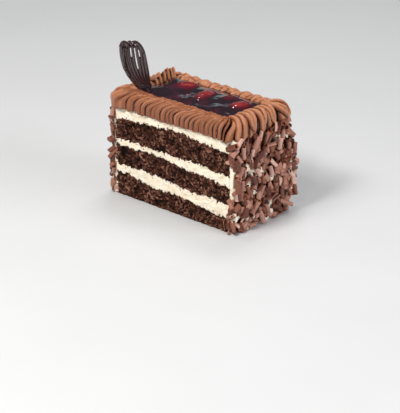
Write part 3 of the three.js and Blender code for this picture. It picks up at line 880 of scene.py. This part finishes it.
def borderBody(s, theta, uneven):  # the smooth body: theta is 0 at the inner foot, 0.45 on the crest, 1 at the lip
    b, turn = border, border["lipTurn"]
    x, y, nx, ny = pathAt(s)
    share = sideShares(nx, ny)
    outer, inner = sideReach(nx, ny)
    ends = share["Left"] + share["Right"]
    big = borderSwell(s, theta)
    scallop = np.abs(np.sin(np.pi * (s + 3 + 1.5 * big) / b["scallop"])) ** 0.6
    angle = np.pi - theta * (np.pi + turn)
    across = np.cos(angle)
    reach = np.where(across < 0, inner - 2.8 * (1 - scallop) * share["Front"], outer)
    out = np.sign(across) * np.abs(across) ** 0.72 * reach
    out = np.where(angle < 0, reach * (0.93 + 0.07 * np.cos(angle / turn * 1.5)), out)
    frontLeft = np.exp(-(((x - b["left"]) / 7) ** 2 + ((y - b["front"]) / 7) ** 2))
    out = out + b["leftCornerBulge"] * frontLeft * bump(theta, 0.76, 0.14)
    rise = np.abs(np.sin(np.maximum(angle, 0))) ** 0.62 * (b["crest"] - b["base"])
    up = np.where(angle > 0, rise, np.sin(angle) / math.sin(turn) * b["lip"])
    up = up * (1 + 0.04 * big) + np.where(theta > 0.86, -2.6 * uneven * (theta - 0.86) / 0.14, 0) * (0.4 + 0.6 * ends)
    up = up + 0.7 * (scallop - 0.6) * share["Front"] * bump(theta, 0.25, 0.14)
    up = up + 0.7 * np.sin(2 * np.pi * s / 9.4 + 1.5 * big) * share["Back"] * bump(theta, 0.45, 0.25)
    up = up + (b["lipRise"][0] * share["Front"] + b["lipRise"][1] * share["Right"]) * blendStep(0.6, 1.0, theta)
    up = up + standing(y, nx) * (3.8 * bump(theta, 0.22, 0.12) - 4.0 * bump(theta, 0.52, 0.15))
    # the inner side never crosses the well that the gel fills
    px, py, inside, part = x + nx * out, y + ny * out, out < 0, np.abs(across) ** 0.72
    px = np.where(inside, np.clip(px, b["left"] + part * b["innerLeft"], b["right"] - part * b["innerRight"]), px)
    py = np.where(inside, np.clip(py, b["front"] + part * b["innerFront"], b["back"] - part * b["innerBack"]), py)
    return np.stack([px, py, b["base"] + up], -1), out


def bodyFacing(nx, ny, theta):  # which way the border's skin faces at a place on its section
    angle = np.pi - theta * (np.pi + border["lipTurn"])
    level = np.sign(np.cos(angle)) * np.abs(np.cos(angle)) ** 1.3
    facing = np.stack([nx * level, ny * level, np.sin(angle) + 0.12 + 0 * nx], -1)
    return facing / np.linalg.norm(facing, axis=-1, keepdims=True)


def passMarks():  # where along the path each pass of the bag ends
    b = border
    rng = np.random.default_rng(b["seed"])
    lengthX, lengthY, arc, total = borderSides()
    marks = [0.0]
    while marks[-1] < total - 2.2:
        s = marks[-1]
        width = b["endPass"]
        if s < lengthX + arc * 0.4:
            width = b["frontPass"][0] + (b["frontPass"][1] - b["frontPass"][0]) * s / lengthX
        elif lengthX + arc * 1.6 + lengthY <= s < 2 * lengthX + arc * 2.5 + lengthY:
            width = b["backPass"]
        marks.append(s + width * rng.uniform(*b["passVaries"]))
    return np.array(marks) * total / marks[-1]


def fannedOut(y, theta):  # how far the right side's passes lean towards its two corners
    along = np.clip((y - border["front"]) / (border["back"] - border["front"]), 0, 1)
    return (3.5 * along ** 2 - border["spread"] * (1 - along) ** 1.5) * np.maximum(0, theta - 0.2) ** 1.3


def passLean(s, theta):  # passes hook over at their top in front, fan out on the right, and lean behind
    b = border
    lengthX, lengthY, arc, total = borderSides()
    x, y, nx, ny = pathAt(s)
    share = sideShares(nx, ny)
    hooked = np.where(s < total / 2, 1 - blendStep(lengthX - 26, lengthX + 0.9 * arc, s), share["Front"])
    hook = b["hook"] * np.clip((0.97 - theta) / 0.45, 0, 1.2) ** 1.65 * np.clip((x - b["left"]) / 30, 0.9, 1)
    hook = (hook + 1.6 * np.maximum(0, theta - 0.84) / 0.16) * hooked
    return hook + fannedOut(y, theta) * share["Right"] - 5.0 * share["Back"] * (theta - 0.1)


def passPoints():  # the border's points: where each lies along the path, on the section and within its pass
    b, marks = border, passMarks()
    passes, columns = len(marks) - 1, b["columns"]
    theta = np.linspace(0, 1, b["rows"])[:, None]
    q = 0.5 - 0.5 * np.cos(np.pi * np.arange(columns) / columns)
    edges = []
    for k in range(passes + 1):  # the wavering line between two passes
        a1, a2, f1, f2 = (scatter(k % passes, n, 5) for n in (1, 2, 3, 4))
        sway = 0.15 * (marks[min(k + 1, passes)] - marks[max(k - 1, 0)]) / 2
        wobble = 1.2 * (a1 - 0.3) * np.sin(5 * theta + 6 * f1) + 0.8 * a2 * np.sin(11 * theta + 6 * f2)
        edges.append(marks[k] + sway * wobble)
    s = np.concatenate([left + (right - left) * q for left, right in zip(edges[:-1], edges[1:])], 1)
    p = SimpleNamespace(passes=passes, theta=theta, s=s + passLean(s, theta))
    p.local = np.broadcast_to(np.tile(q, passes), s.shape)
    p.number = np.broadcast_to(np.repeat(np.arange(passes), columns), s.shape)
    p.x, p.y, p.nx, p.ny = pathAt(p.s)
    p.share = sideShares(p.nx, p.ny)
    p.ends = p.share["Left"] + p.share["Right"]
    p.toGroove = np.minimum(p.local, 1 - p.local) * np.diff(marks)[p.number]
    p.smear = np.exp(-(((p.x - b["left"] - 1) / 11) ** 2 + ((p.y - b["front"] - 1) / 9) ** 2))  # front left corner
    p.crestBand = blendStep(0.12, 0.3, theta) * (1 - blendStep(0.5, 0.62, theta))
    p.flow = roughNoise((p.s - 20 * theta) / 8, theta * 20 + 0.3 * borderSwell(p.s, theta), 351, 3, 0.65)
    p.strands = np.cos(2 * np.pi * (3.0 * p.local + 0.4 * scatter(p.number, 25, 5)))
    p.strands = p.strands * blendStep(0.05, 0.2, p.local) * blendStep(0.0, 0.12, 1 - p.local)
    return p


def grooveStrength(p):  # how deep the grooves between passes are at each point, from 0 to 1
    b, theta = border, p.theta
    nearest = p.number + (p.local >= 0.5)
    ragged = theta + 0.05 * softNoise(p.s / 5, theta * 0, 311)
    high = 0.45 + 0.08 * (scatter(nearest, 21, 5) - 0.5)  # where each groove begins and ends
    low = 0.7 + 0.18 * scatter(nearest, 23, 5) + 0.05 * np.clip((p.x - b["left"]) / 60, 0, 1)
    ending = 1 - 0.78 * blendStep(low - 0.08, low + 0.08, theta)
    frontBand = 0.05 + 0.95 * blendStep(high, high + 0.09, ragged) * ending
    odd = nearest % 2 == 1
    backBand = np.where(odd, 0.2 + 0.8 * bump(theta, 0.2, 0.12), 0.25) + 0.5 * blendStep(0.6, 0.75, theta)
    endBand = 0.12 + 0.88 * np.where(odd, blendStep(0.10, 0.26, ragged), 1 - blendStep(0.74, 0.9, ragged))
    strength = p.share["Front"] * frontBand + p.share["Back"] * backBand + p.ends * endBand
    smearRight = 0.8 * np.exp(-(((p.x - b["right"] + 6) / 7) ** 2 + ((p.y - b["front"] - 1) / 6) ** 2)) * (theta < 0.6)
    return np.clip(strength, 0, 1) * (1 - 0.6 * p.smear) * (1 - smearRight)


def innerCorner(body):  # 1 in the four inner corners, where the skin stays plain
    b, x, y = border, body[..., 0], body[..., 1]
    alongX = np.minimum(np.abs(x - b["left"] - b["innerLeft"]), np.abs(x - b["right"] + b["innerRight"]))
    alongY = np.minimum(np.abs(y - b["front"] - b["innerFront"]), np.abs(y - b["back"] + b["innerBack"]))
    return 1 - blendStep(0.5, 4.0, np.hypot(alongX, alongY))


def grooveInward(p, body, out, fade, plain):  # how far the skin sinks below the smooth body
    b, s, theta, local, front = border, p.s, p.theta, p.local, p.share["Front"]
    lapped = blendStep(0.06, 0.21, local) * (1 - 0.3 * local ** 1.5)  # like shingles, each over the next
    lapped = lapped * blendStep(0.04, 0.16, 1 - local) + 0.16 * bump(local, 0.26, 0.08)
    rounded = np.sqrt(np.maximum(0, 1 - (2 * local - 1) ** 2)) ** 0.9
    bead = lapped * front + rounded * (1 - front)
    depth = (b["depth"] + 0.5 * p.ends) * (0.7 + 0.6 * scatter(p.number, 7, 5)) * fade
    inward = depth * (1 - bead) - 0.7 * (scatter(p.number, 9, 5) - 0.4) * fade
    thin = bump(local, 0.5 + 0.2 * (scatter(p.number, 11, 5) - 0.5), 0.05)  # a fine line within some passes
    inward = inward + 0.6 * fade * thin * (scatter(p.number, 13, 5) > 0.45)
    crease = bump(np.mod(s + 6 + 14 * (theta - 0.3), b["scallop"]), 8, 0.8) * bump(theta, 0.3, 0.13)
    inward = inward - 0.85 * p.flow * p.crestBand * (front + p.share["Back"]) + 0.8 * crease * front
    smoothLeft = p.share["Left"] * (1 - standing(p.y, p.nx)) * (1 - plain)
    inward = inward - (0.9 * p.crestBand + 0.5 * p.smear) * p.flow * smoothLeft
    inward = inward - 0.28 * p.strands * front * (0.35 + 0.65 * blendStep(0.4, 0.6, theta)) * (1 - plain)
    grain = roughNoise(s / 1.5, theta * 9, 331, 3)
    folds = roughNoise(s / 5.0, theta * 5, 341, 2)
    inward = (inward - 0.10 * grain - 0.42 * folds) * (1 - plain)
    px, pz = p.x + p.nx * out, body[..., 2]
    for slotX, slotZ, wide, tall, tilt, deep in b["slots"]:
        du = (px - slotX) * math.cos(tilt) + (pz - slotZ) * math.sin(tilt)
        dv = -(px - slotX) * math.sin(tilt) + (pz - slotZ) * math.cos(tilt)
        inward = inward + deep * np.exp(-((du / wide) ** 2 + (dv / tall) ** 2)) * (p.ny < -0.2) * (theta > 0.45)
    upright = p.share["Left"] * bump(p.y, 15, 13)
    upright = upright + 0.8 * np.exp(-(((p.x - b["left"]) / 6) ** 2 + ((p.y - b["back"]) / 5) ** 2))
    upright = upright * bump(theta, 0.36, 0.13) * (1.6 * bead ** 0.8 * (0.5 + 0.8 * scatter(p.number, 15, 5)) - 1.4)
    return inward, upright


def grooveShade(p, inward, fade):  # painted shade on the buttercream in the deep grooves, along the wisps and towards the lower edge, a painted highlight on each pass's rim line, and a darker left end
    front = p.share["Front"]
    dark = np.clip((inward - 0.15) / 1.9, 0, 1) ** 1.15
    crescent = np.clip(1.9 * fade * bump(p.toGroove, 0, 0.62), 0, 1)
    shade = 0.09 * (1 - bump(p.local, 0.3, 0.1)) + 0.22 * np.clip(-p.flow, 0, 1) * p.crestBand
    shade = shade + 0.10 * blendStep(0.75, 1.0, p.theta) + 0.10 * blendStep(-22, -40, p.x)
    shade = shade + 0.07 * p.strands * blendStep(0.35, 0.55, p.theta)
    dark = dark * (1 - front) + np.clip(crescent + shade, 0, 1) * front
    return dark * (1 - 0.5 * standing(p.y, p.nx)) * (1 - 0.75 * p.smear)


def makeBorder():
    p = passPoints()
    uneven = scatter(p.number + (p.local > 0.5), 17, 5) - 0.45
    body, out = borderBody(p.s, p.theta, uneven)
    plain = innerCorner(body)
    fade = grooveStrength(p) * (1 - plain)
    inward, upright = grooveInward(p, body, out, fade, plain)
    skin = body - bodyFacing(p.nx, p.ny, p.theta) * inward[..., None]
    skin[..., 2] = np.maximum(skin[..., 2] + upright, border["lowest"])
    under = []
    for part, drop in ((0.75, 0.3), (0.4, 0.7)):  # the underside, in below the lip
        x, y = p.x[-1] + p.nx[-1] * out[-1] * part, p.y[-1] + p.ny[-1] * out[-1] * part
        under.append(np.stack([x, y, skin[-1, :, 2] + drop], -1))
    foot = skin[0].copy()
    foot[:, 2] = border["base"] - 0.4
    points = np.concatenate([skin, np.stack(under + [foot])], 0)
    rows, columns = points.shape[:2]
    last, i = (rows - 1) * columns, np.arange(columns)
    closing = np.stack([i, (i + 1) % columns, last + (i + 1) % columns, last + i], -1)
    faces = np.concatenate([gridFaces(columns, rows, 0, True, True), closing])
    # the underside and foot rows get a middling painted shade
    dark = np.concatenate([grooveShade(p, inward, fade), np.full((len(under) + 1, columns), 0.5)], 0)
    makePiece("pipedBorder", points.reshape(-1, 3), faces, finish["buttercream"], ["piped_border"],
              {"paintedShade": dark})
    print("border made", p.passes, "passes", len(faces), "faces")


endLoops = {  # the zigzag bead laid over the border's right end
    "pass": (4.0, 5.2),
    "radius": (1.75, 2.35),
    "top": 0.27, "bottom": 0.93,  # where on the border's section it turns back
    "lift": 0.35,
    "seed": 9,
}


def beadOver(s, theta, radius, raised, narrow=1.0):  # a bead of buttercream laid over the border's body
    body, out = borderBody(s, theta, np.zeros_like(s))
    x, y, nx, ny = pathAt(s)
    normal = bodyFacing(nx, ny, theta)
    line = body + normal * (endLoops["lift"] - 0.3 * radius[:, None])
    line[:, 2] = np.maximum(line[:, 2] + raised, 64.6)
    ahead = np.gradient(line, axis=0)
    ahead /= np.maximum(np.linalg.norm(ahead, axis=1, keepdims=True), 1e-9)
    sideways = np.cross(ahead, normal)
    sideways /= np.maximum(np.linalg.norm(sideways, axis=1, keepdims=True), 1e-9)
    around = 14
    a = np.linspace(0, 2 * np.pi, around, endpoint=False)
    ridge = 1 + 0.07 * np.cos(5 * a[None, :] + 0.6 * np.sin(s / 3)[:, None])
    rough = softNoise(s[:, None] * 0.9 + 3 * np.cos(a)[None, :], theta[:, None] * 22 + 3 * np.sin(a)[None, :], 661)
    size = radius[:, None] * ridge * (1 + 0.06 * rough)
    across = narrow * (size * np.cos(a)[None, :])[..., None] * sideways[:, None, :]
    outward = (size * np.sin(a)[None, :] * 0.95)[..., None] * normal[:, None, :]
    rings = line[:, None, :] + across + outward
    points = np.concatenate([rings.reshape(-1, 3), line[:1], line[-1:]])
    # painted shade on the bead's underside, where it lies on the border
    low = np.tile(np.clip(0.75 - 0.9 * np.sin(a), 0, 1) * 0.7, len(line))
    return points, tubeFaces(around, len(line)), np.concatenate([low, [0.3, 0.3]])


def makeLoops():
    e = endLoops
    rng = np.random.default_rng(e["seed"])
    lengthX, lengthY, arc, total = borderSides()
    sList, thetaList, radiusList = [], [], []
    s = lengthX + arc * 0.8
    w = np.linspace(0, 1, 26)
    ease = 0.5 - 0.5 * np.cos(np.pi * w)
    down = True
    while s < lengthX + arc * 1.75 + lengthY:
        width = rng.uniform(*e["pass"])
        top = e["top"] + rng.uniform(-0.03, 0.10)
        far = (s - lengthX) / (lengthY + 2 * arc)
        bottom = e["bottom"] - 0.1 * far + rng.uniform(-0.10, 0.05)
        theta = top + (bottom - top) * ease
        sList.append(s + width * (0.42 * ease + 0.18 * np.sin(np.pi * w) * rng.uniform(-1, 1)))
        thetaList.append(theta if down else theta[::-1])
        radiusList.append(rng.uniform(*e["radius"]) * (0.86 + 0.2 * np.sin(np.pi * w)))
        s += width
        down = not down
    s, theta, radius = np.concatenate(sList), np.concatenate(thetaList), np.concatenate(radiusList)
    for k in range(5):  # rounds the turns
        for line in (s, theta, radius):
            line[1:-1] = 0.25 * line[:-2] + 0.5 * line[1:-1] + 0.25 * line[2:]
    s = s + fannedOut(pathAt(s)[1], theta)
    points, faces, dark = beadOver(s, theta, radius, 0)
    makePiece("pipedLoops", points, faces, finish["buttercream"], ["piped_border"],
              {"paintedShade": dark})


fins = {  # the upright passes over the border's left end
    "spacing": (3.5, 4.4),
    "radius": (1.8, 2.3),
    "last": -8.0,  # where along the depth the last one stands, just behind the fan
    "tips": (3.0, 6.0),  # how far they stand up at the back
    "seed": 4,
}


def makeFins():
    rng = np.random.default_rng(fins["seed"])
    lengthX, lengthY, arc, total = borderSides()
    s = 2 * lengthX + arc * 2.5 + lengthY
    stop = 2 * lengthX + 3 * arc + lengthY + border["back"] - border["corner"] - fins["last"]
    points, faces, darks, count = [], [], [], 0
    while s < stop:
        theta = np.linspace(0.02, rng.uniform(0.88, 0.95), 40)
        slant = rng.uniform(-1.5, 1.5)
        here = s + slant * (theta - 0.4) + 0.5 * np.sin(5 * theta + rng.uniform(0, 6))
        x, y, nx, ny = pathAt(here)
        stand = standing(y, nx)
        tip = bump(theta, 0.23, 0.075)
        raised = rng.uniform(*fins["tips"]) * stand * tip
        radius = rng.uniform(*fins["radius"]) * (1 - 0.45 * tip * (0.3 + 0.7 * stand))
        radius = radius * np.sin(np.pi * (0.12 + 0.8 * theta)) ** 0.35
        p, f, dark = beadOver(here, theta, radius, raised, 0.86)
        points.append(p)
        faces.extend([tuple(int(i) + count for i in face) for face in f])
        darks.append(0.45 * dark)
        count += len(p)
        s += rng.uniform(*fins["spacing"])
    makePiece("pipedFins", np.concatenate(points), faces, finish["buttercream"], ["piped_border"],
              {"paintedShade": np.concatenate(darks)})


makeBorder()
makeLoops()
makeFins()


cherries = {
    "nodes": ["cherry_1", "cherry_2", "cherry_3", "cherry_4", "cherry_5"],
    "stretch": [1.0, 1.12, 1.38, 1.05, 1.22],  # longer than wide
    "turn": [30, 36, 88, 40, 66],  # degrees, seen from above
    "purple": [0.85, 0.0, 0.05, 0.7, 0.0],
    "lift": [-0.4, 0.8, 0.9, -0.1, 1.1],
    "bare": [0.15, 0.62, 0.68, 0.2, 0.7],  # how much of each stands clear of the gel
}


def cherryShape(k):  # middle, half sizes and turn of one cherry
    low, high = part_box(cherries["nodes"][k])
    middle = (low + high) / 2 / mm
    radius = (high.x - low.x) / 2 / mm
    stretch = cherries["stretch"][k]
    return middle.x, middle.y, middle.z + cherries["lift"][k], radius * stretch, radius * 0.82, radius * 0.84


def makeCherry(k):
    cx, cy, cz, rx, ry, rz = cherryShape(k)
    columns, rows = 72, 46
    a = np.linspace(0, 2 * np.pi, columns, endpoint=False)[None, :]
    e = np.linspace(-np.pi / 2, np.pi / 2, rows)[:, None]
    d = np.stack([np.cos(e) * np.cos(a), np.cos(e) * np.sin(a), np.sin(e) + 0 * a], -1)
    wrinkle = roughNoise(d[..., 0] * 2.2 + 7 * k + 3, d[..., 1] * 2.2 + d[..., 2], 401 + k, 3)
    dent = np.exp(-((d[..., 0] - 0.35) ** 2 + (d[..., 1] + 0.3) ** 2 + (d[..., 2] - 0.8) ** 2) / 0.12)
    pimples = softNoise(d[..., 0] * 8 + 3 * k, d[..., 1] * 8 + d[..., 2] * 5, 431 + k)
    size = 1 + 0.06 * wrinkle - 0.09 * dent + 0.02 * pimples
    p = d * size[..., None] * np.array([rx, ry, rz])
    t = math.radians(cherries["turn"][k])
    px = cx + p[..., 0] * math.cos(t) - p[..., 1] * math.sin(t)
    py = cy + p[..., 0] * math.sin(t) + p[..., 1] * math.cos(t)
    points = np.stack([px, py, cz + p[..., 2]], -1).reshape(-1, 3)
    faces = gridFaces(columns, rows, 0, False, True)
    tint = np.full(len(points), cherries["purple"][k]) + 0.3 * np.clip(-(points[:, 2] - cz) / rz, 0, 1)
    weld(makePiece("cherry%d" % (k + 1), points, faces, finish["cherry"], [cherries["nodes"][k]],
                   {"tint": tint}))


def weld(piece):  # one point at each pole instead of a ring of them
    work = bmesh.new()
    work.from_mesh(piece.data)
    bmesh.ops.remove_doubles(work, verts=work.verts, dist=1e-6)
    work.to_mesh(piece.data)
    work.free()


glaze = {
    "level": 78.9,  # where it meets the border
    "dome": 1.5,  # how much higher it stands inside
    "domeEdge": 4.5,
    "heap": 2.6,  # heaped further up at the back of the left end
    "margin": (3.0, 2.6),  # how far it reaches under the border
    "waves": 0.95,
    "film": 0.28,  # thickness where it climbs the cherries
    "blend": 3.4,  # how softly it meets them
    "step": 0.44,
}


def makeGlaze():
    low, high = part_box("cherry_glaze")
    x0, x1 = low.x / mm - glaze["margin"][0], high.x / mm + glaze["margin"][0]
    y0, y1 = low.y / mm - glaze["margin"][1], high.y / mm + glaze["margin"][1]
    columns, rows = int((x1 - x0) / glaze["step"]), int((y1 - y0) / glaze["step"])
    x, y = np.meshgrid(np.linspace(x0, x1, columns), np.linspace(y0, y1, rows))
    waves = softNoise(x / 13, y / 10, 501) + 0.45 * softNoise((x + y) / 10, (x - y) / 13, 509)
    waves = waves + 0.3 * softNoise((x + 0.7 * y) / 5.5, (y - 0.4 * x) / 3.6, 513)
    toEdge = np.minimum(np.minimum(x - low.x / mm, high.x / mm - x), np.minimum(y - low.y / mm, high.y / mm - y))
    dome = 1 - np.exp(-np.maximum(0, toEdge) / glaze["domeEdge"])
    height = glaze["level"] + glaze["dome"] * dome + glaze["waves"] * waves * (0.4 + 0.6 * dome)
    height = height + glaze["heap"] * blendStep(-6, -30, x) * blendStep(-10, 8, y) * dome
    thinnest = np.full_like(x, 99.0)
    sunk = np.zeros_like(x)
    for k in range(len(cherries["nodes"])):
        cx, cy, cz, rx, ry, rz = cherryShape(k)
        t = math.radians(cherries["turn"][k])
        dx = (x - cx) * math.cos(t) + (y - cy) * math.sin(t)
        dy = -(x - cx) * math.sin(t) + (y - cy) * math.cos(t)
        far = np.hypot(dx / rx, dy / ry)
        cap = cz + rz * np.sqrt(np.maximum(0, 1 - np.minimum(far, 0.97) ** 2)) - np.maximum(0, far - 0.97) * rx * 2.2
        draped = cap + glaze["film"]
        mix = np.clip(0.5 + 0.5 * (draped - height) / glaze["blend"], 0, 1)
        height = height + (draped - height) * mix + glaze["blend"] * mix * (1 - mix)
        thinnest = np.minimum(thinnest, height - cap)
        ragged = 0.07 * softNoise(x / 2.5, y / 2.5, 520 + k)
        bare = 1 - blendStep(cherries["bare"][k] - 0.1, cherries["bare"][k] + 0.1, far + ragged)
        sunk = np.maximum(sunk, bare)
    near = np.exp(-np.maximum(0, thinnest - glaze["film"]) / 1.5)
    height = height - sunk * (glaze["film"] + 1.1)
    top = np.stack([x, y, height], -1).reshape(-1, 3)
    under = top.copy()
    under[:, 2] = slice_["creamTop"] + 0.1
    faces = slabFaces(columns, rows, True)
    makePiece("cherryGlaze", np.concatenate([top, under]), faces[:, ::-1], finish["glaze"], ["cherry_glaze"],
              {"nearCherry": np.concatenate([near.ravel(), near.ravel()])})


for cherryNumber in range(len(cherries["nodes"])):
    makeCherry(cherryNumber)
makeGlaze()
print("cherries and glaze made")


fan = {
    "foot": (-40.0, -11.0, 71.5),
    "facing": 41,  # degrees, the way its width runs seen from above
    "height": 41.6,
    "leftFoot": 0.5, "leftTop": -16.0,
    "rightFoot": 3.2, "rightTop": -1.9,
    "strands": 7,
    "thick": (0.8, 1.12, 0.95),  # a strand's radius at its foot, at mid height and near its top
    "edgeThick": (1.5, 1.2),  # the left and right edge strands swell more
    "web": 0.26,
    "curl": 4.2,
    # gaps you can see through: between strands k and k + 1, from and to (share of the height), how far it is spread
    "openings": {2: (0.74, 0.90, 0.5), 3: (0.52, 0.90, 0.55), 4: (0.76, 0.89, 0.4)},
}


def fanPoint(u, v, ahead=0.0):  # a point of the fan: u across it, v up it, and how far it stands forward
    grown = min(1, max(0, (v - 0.1) / 0.9))
    left = fan["leftFoot"] + (fan["leftTop"] - fan["leftFoot"]) * (1 - (1 - grown) ** 3)
    right = fan["rightFoot"] + (fan["rightTop"] - fan["rightFoot"]) * v ** 1.5
    side = left + (right - left) * u
    up = fan["height"] * v * (1 - 0.11 * max(u, 0) ** 4)
    ahead = ahead + fan["curl"] * v * v * (1 - u) ** 2
    t = math.radians(fan["facing"])
    fx, fy, fz = fan["foot"]
    x = fx + math.cos(t) * side + math.sin(t) * ahead
    y = fy + math.sin(t) * side - math.cos(t) * ahead
    return np.array([x, y, fz + up])


def strandU(k, v):  # where strand k runs at height v, pushed aside by the gaps
    u = k / (fan["strands"] - 1)
    for gap, (low, high, wide) in fan["openings"].items():
        push = 0.5 * wide / 13.0 * blendStep(low - 0.12, low + 0.06, v) * (1 - blendStep(high, high + 0.08, v))
        u += push * (1 if k > gap else -1) * (1 if abs(k - gap - 0.5) < 1 else 0.3)
    return u + 0.004 * math.sin(4 * v + 2 * k)


def tubeAlong(line, radii):  # a closed strand through the points of a line
    line = np.asarray(line, float)
    n, around = len(line), 14
    ahead = np.gradient(line, axis=0)
    ahead /= np.linalg.norm(ahead, axis=1, keepdims=True)
    t = math.radians(fan["facing"])
    face = np.array([math.sin(t), -math.cos(t), 0.0])
    sideways = np.cross(ahead, face)
    sideways /= np.linalg.norm(sideways, axis=1, keepdims=True)
    out = np.cross(sideways, ahead)
    a = np.linspace(0, 2 * np.pi, around, endpoint=False)
    across = np.cos(a)[None, :, None] * sideways[:, None, :]
    forward = np.sin(a)[None, :, None] * out[:, None, :]
    rings = line[:, None, :] + np.asarray(radii)[:, None, None] * (across + forward)
    tip = np.asarray(radii)[[0, -1]] * 0.45
    ends = np.stack([line[0] - ahead[0] * tip[0], line[-1] + ahead[-1] * tip[1]])
    points = np.concatenate([rings.reshape(-1, 3), ends])
    return points, tubeFaces(around, n)


def makeFan():
    chunks, faces, count = [], [], 0

    def keep(p, f):
        nonlocal count
        chunks.append(np.asarray(p))
        faces.extend([tuple(int(i) + count for i in face) for face in f])
        count += len(p)

    last = fan["strands"] - 1
    foot, middle, top = fan["thick"]
    for k in range(fan["strands"]):  # the strands, from the foot up
        end = 0.95 - 0.02 * (k % 2)
        v = np.linspace(-0.02, end, 54)
        line = np.array([fanPoint(strandU(k, w), w, 0.2 * math.sin(3 * w + 1.7 * k)) for w in v])
        radii = foot + (middle - foot) * np.clip(v / 0.5, 0, 1) + (top - middle) * np.clip((v - 0.5) / 0.5, 0, 1)
        radii = radii * (1 + 0.03 * np.sin(9 * v + 2.3 * k))
        if k in (0, last):
            radii = radii * fan["edgeThick"][0 if k == 0 else 1]
        keep(*tubeAlong(line, radii))
    # the left edge folds forward in soft knots
    v = np.linspace(0.24, 0.92, 60)
    knots = (0.5 + 0.5 * np.cos(2 * np.pi * (v - 0.43) / 0.125)) * np.exp(-((v - 0.5) / 0.22) ** 2)
    forward = [1.5 * math.sin(math.pi * (w - 0.24) / 0.68) ** 0.6 for w in v]
    fold = [fanPoint(0.035 + 0.035 * math.sin(9 * w), w, f) for w, f in zip(v, forward)]
    keep(*tubeAlong(fold, 0.9 + 0.75 * knots))

    def lobe(u0, u1, v0, rise, thick, drop=0.0, forward=0.0):  # a loop of chocolate over the strands' tops
        w = np.linspace(0, 1, 22)
        line = np.array([fanPoint(u0 + (u1 - u0) * a, v0 - drop * a ** 2.5, forward) for a in w])
        line[:, 2] += rise * np.sin(np.pi * w) ** 0.8
        keep(*tubeAlong(line, thick * (1 + 0.08 * np.sin(9 * w))))

    lobe(-0.04, 0.26, 0.93, 3.4, 1.45, 0.0, 0.6)
    lobe(0.04, 0.24, 0.87, 1.6, 1.0, 0.0, 1.2)
    lobe(0.27, 0.47, 0.94, 2.6, 1.25)
    lobe(0.45, 1.0, 0.955, 2.4, 1.45, 0.06)
    lobe(0.30, 0.97, 0.92, 0.6, 0.9, 0.02, -0.3)
    t = math.radians(fan["facing"])
    ahead = np.array([math.sin(t), -math.cos(t), 0])
    for k in range(last):  # the thin web between neighbouring strands
        spans = [(-0.02, 0.95)]
        if k in fan["openings"]:
            low, high, _ = fan["openings"][k]
            spans = [(-0.02, low), (high, 0.95)]
        for low, high in spans:
            n = 18
            front, back = [], []
            for w in np.linspace(low, high, n):
                a, b = strandU(k, w), strandU(k + 1, w)
                for u in (a, a + (b - a) * 0.3, (a + b) / 2, b - (b - a) * 0.3, b):
                    p = fanPoint(u, w)
                    front.append(p + ahead * fan["web"])
                    back.append(p - ahead * fan["web"])
            keep(front + back, slabFaces(5, n, True))
    makePiece("chocolateFan", np.concatenate(chunks), faces, finish["fan"], ["chocolate_fan"])


makeFan()
print("fan made")


crumbs = {"count": 120, "size": (0.22, 0.55), "seed": 33}


def crumbShape(rng, size):
    columns, rows = 8, 6
    a = np.linspace(0, 2 * np.pi, columns, endpoint=False)[None, :]
    e = np.linspace(-np.pi / 2, np.pi / 2, rows)[:, None]
    r = size * (0.75 + 0.5 * rng.random((rows, columns)))
    r[0, :], r[-1, :] = r[0, 0], r[-1, 0]
    p = np.stack([r * np.cos(e) * np.cos(a) * 1.2, r * np.cos(e) * np.sin(a) * 0.8, r * np.sin(e) + 0 * a], -1)
    return p.reshape(-1, 3), gridFaces(columns, rows, 0, False, True)


def makeCrumbs():
    rng = np.random.default_rng(crumbs["seed"])
    points, faces, heights, count = [], [], [], 0
    for k in range(crumbs["count"]):
        side = -1 if rng.random() < 0.6 else 1
        number = int(rng.choice([0, 1, 2, 3, 4]))
        x = rng.uniform(slice_["spongeLeft"] + 1, slice_["spongeRight"] - 1)
        y = np.array([side * slice_["halfDepth"]])
        edge = layerTop(number, np.array([x]), y)[0]
        isCreamBelow = number % 2 == 1
        z = edge + (-1 if isCreamBelow else 1) * abs(rng.normal(0, 0.9))
        p, f = crumbShape(rng, rng.uniform(*crumbs["size"]))
        p = p + np.array([x, side * (slice_["halfDepth"] + 0.45), z])
        points.append(p)
        faces.append(f + count)
        count += len(p)
        heights.append(np.full(len(p), rng.uniform(0.3, 0.8)))
    weld(makePiece("looseCrumbs", np.concatenate(points), np.concatenate(faces), finish["sponge"], [],
                   {"height": np.concatenate(heights)}))


makeCrumbs()
print("crumbs made")
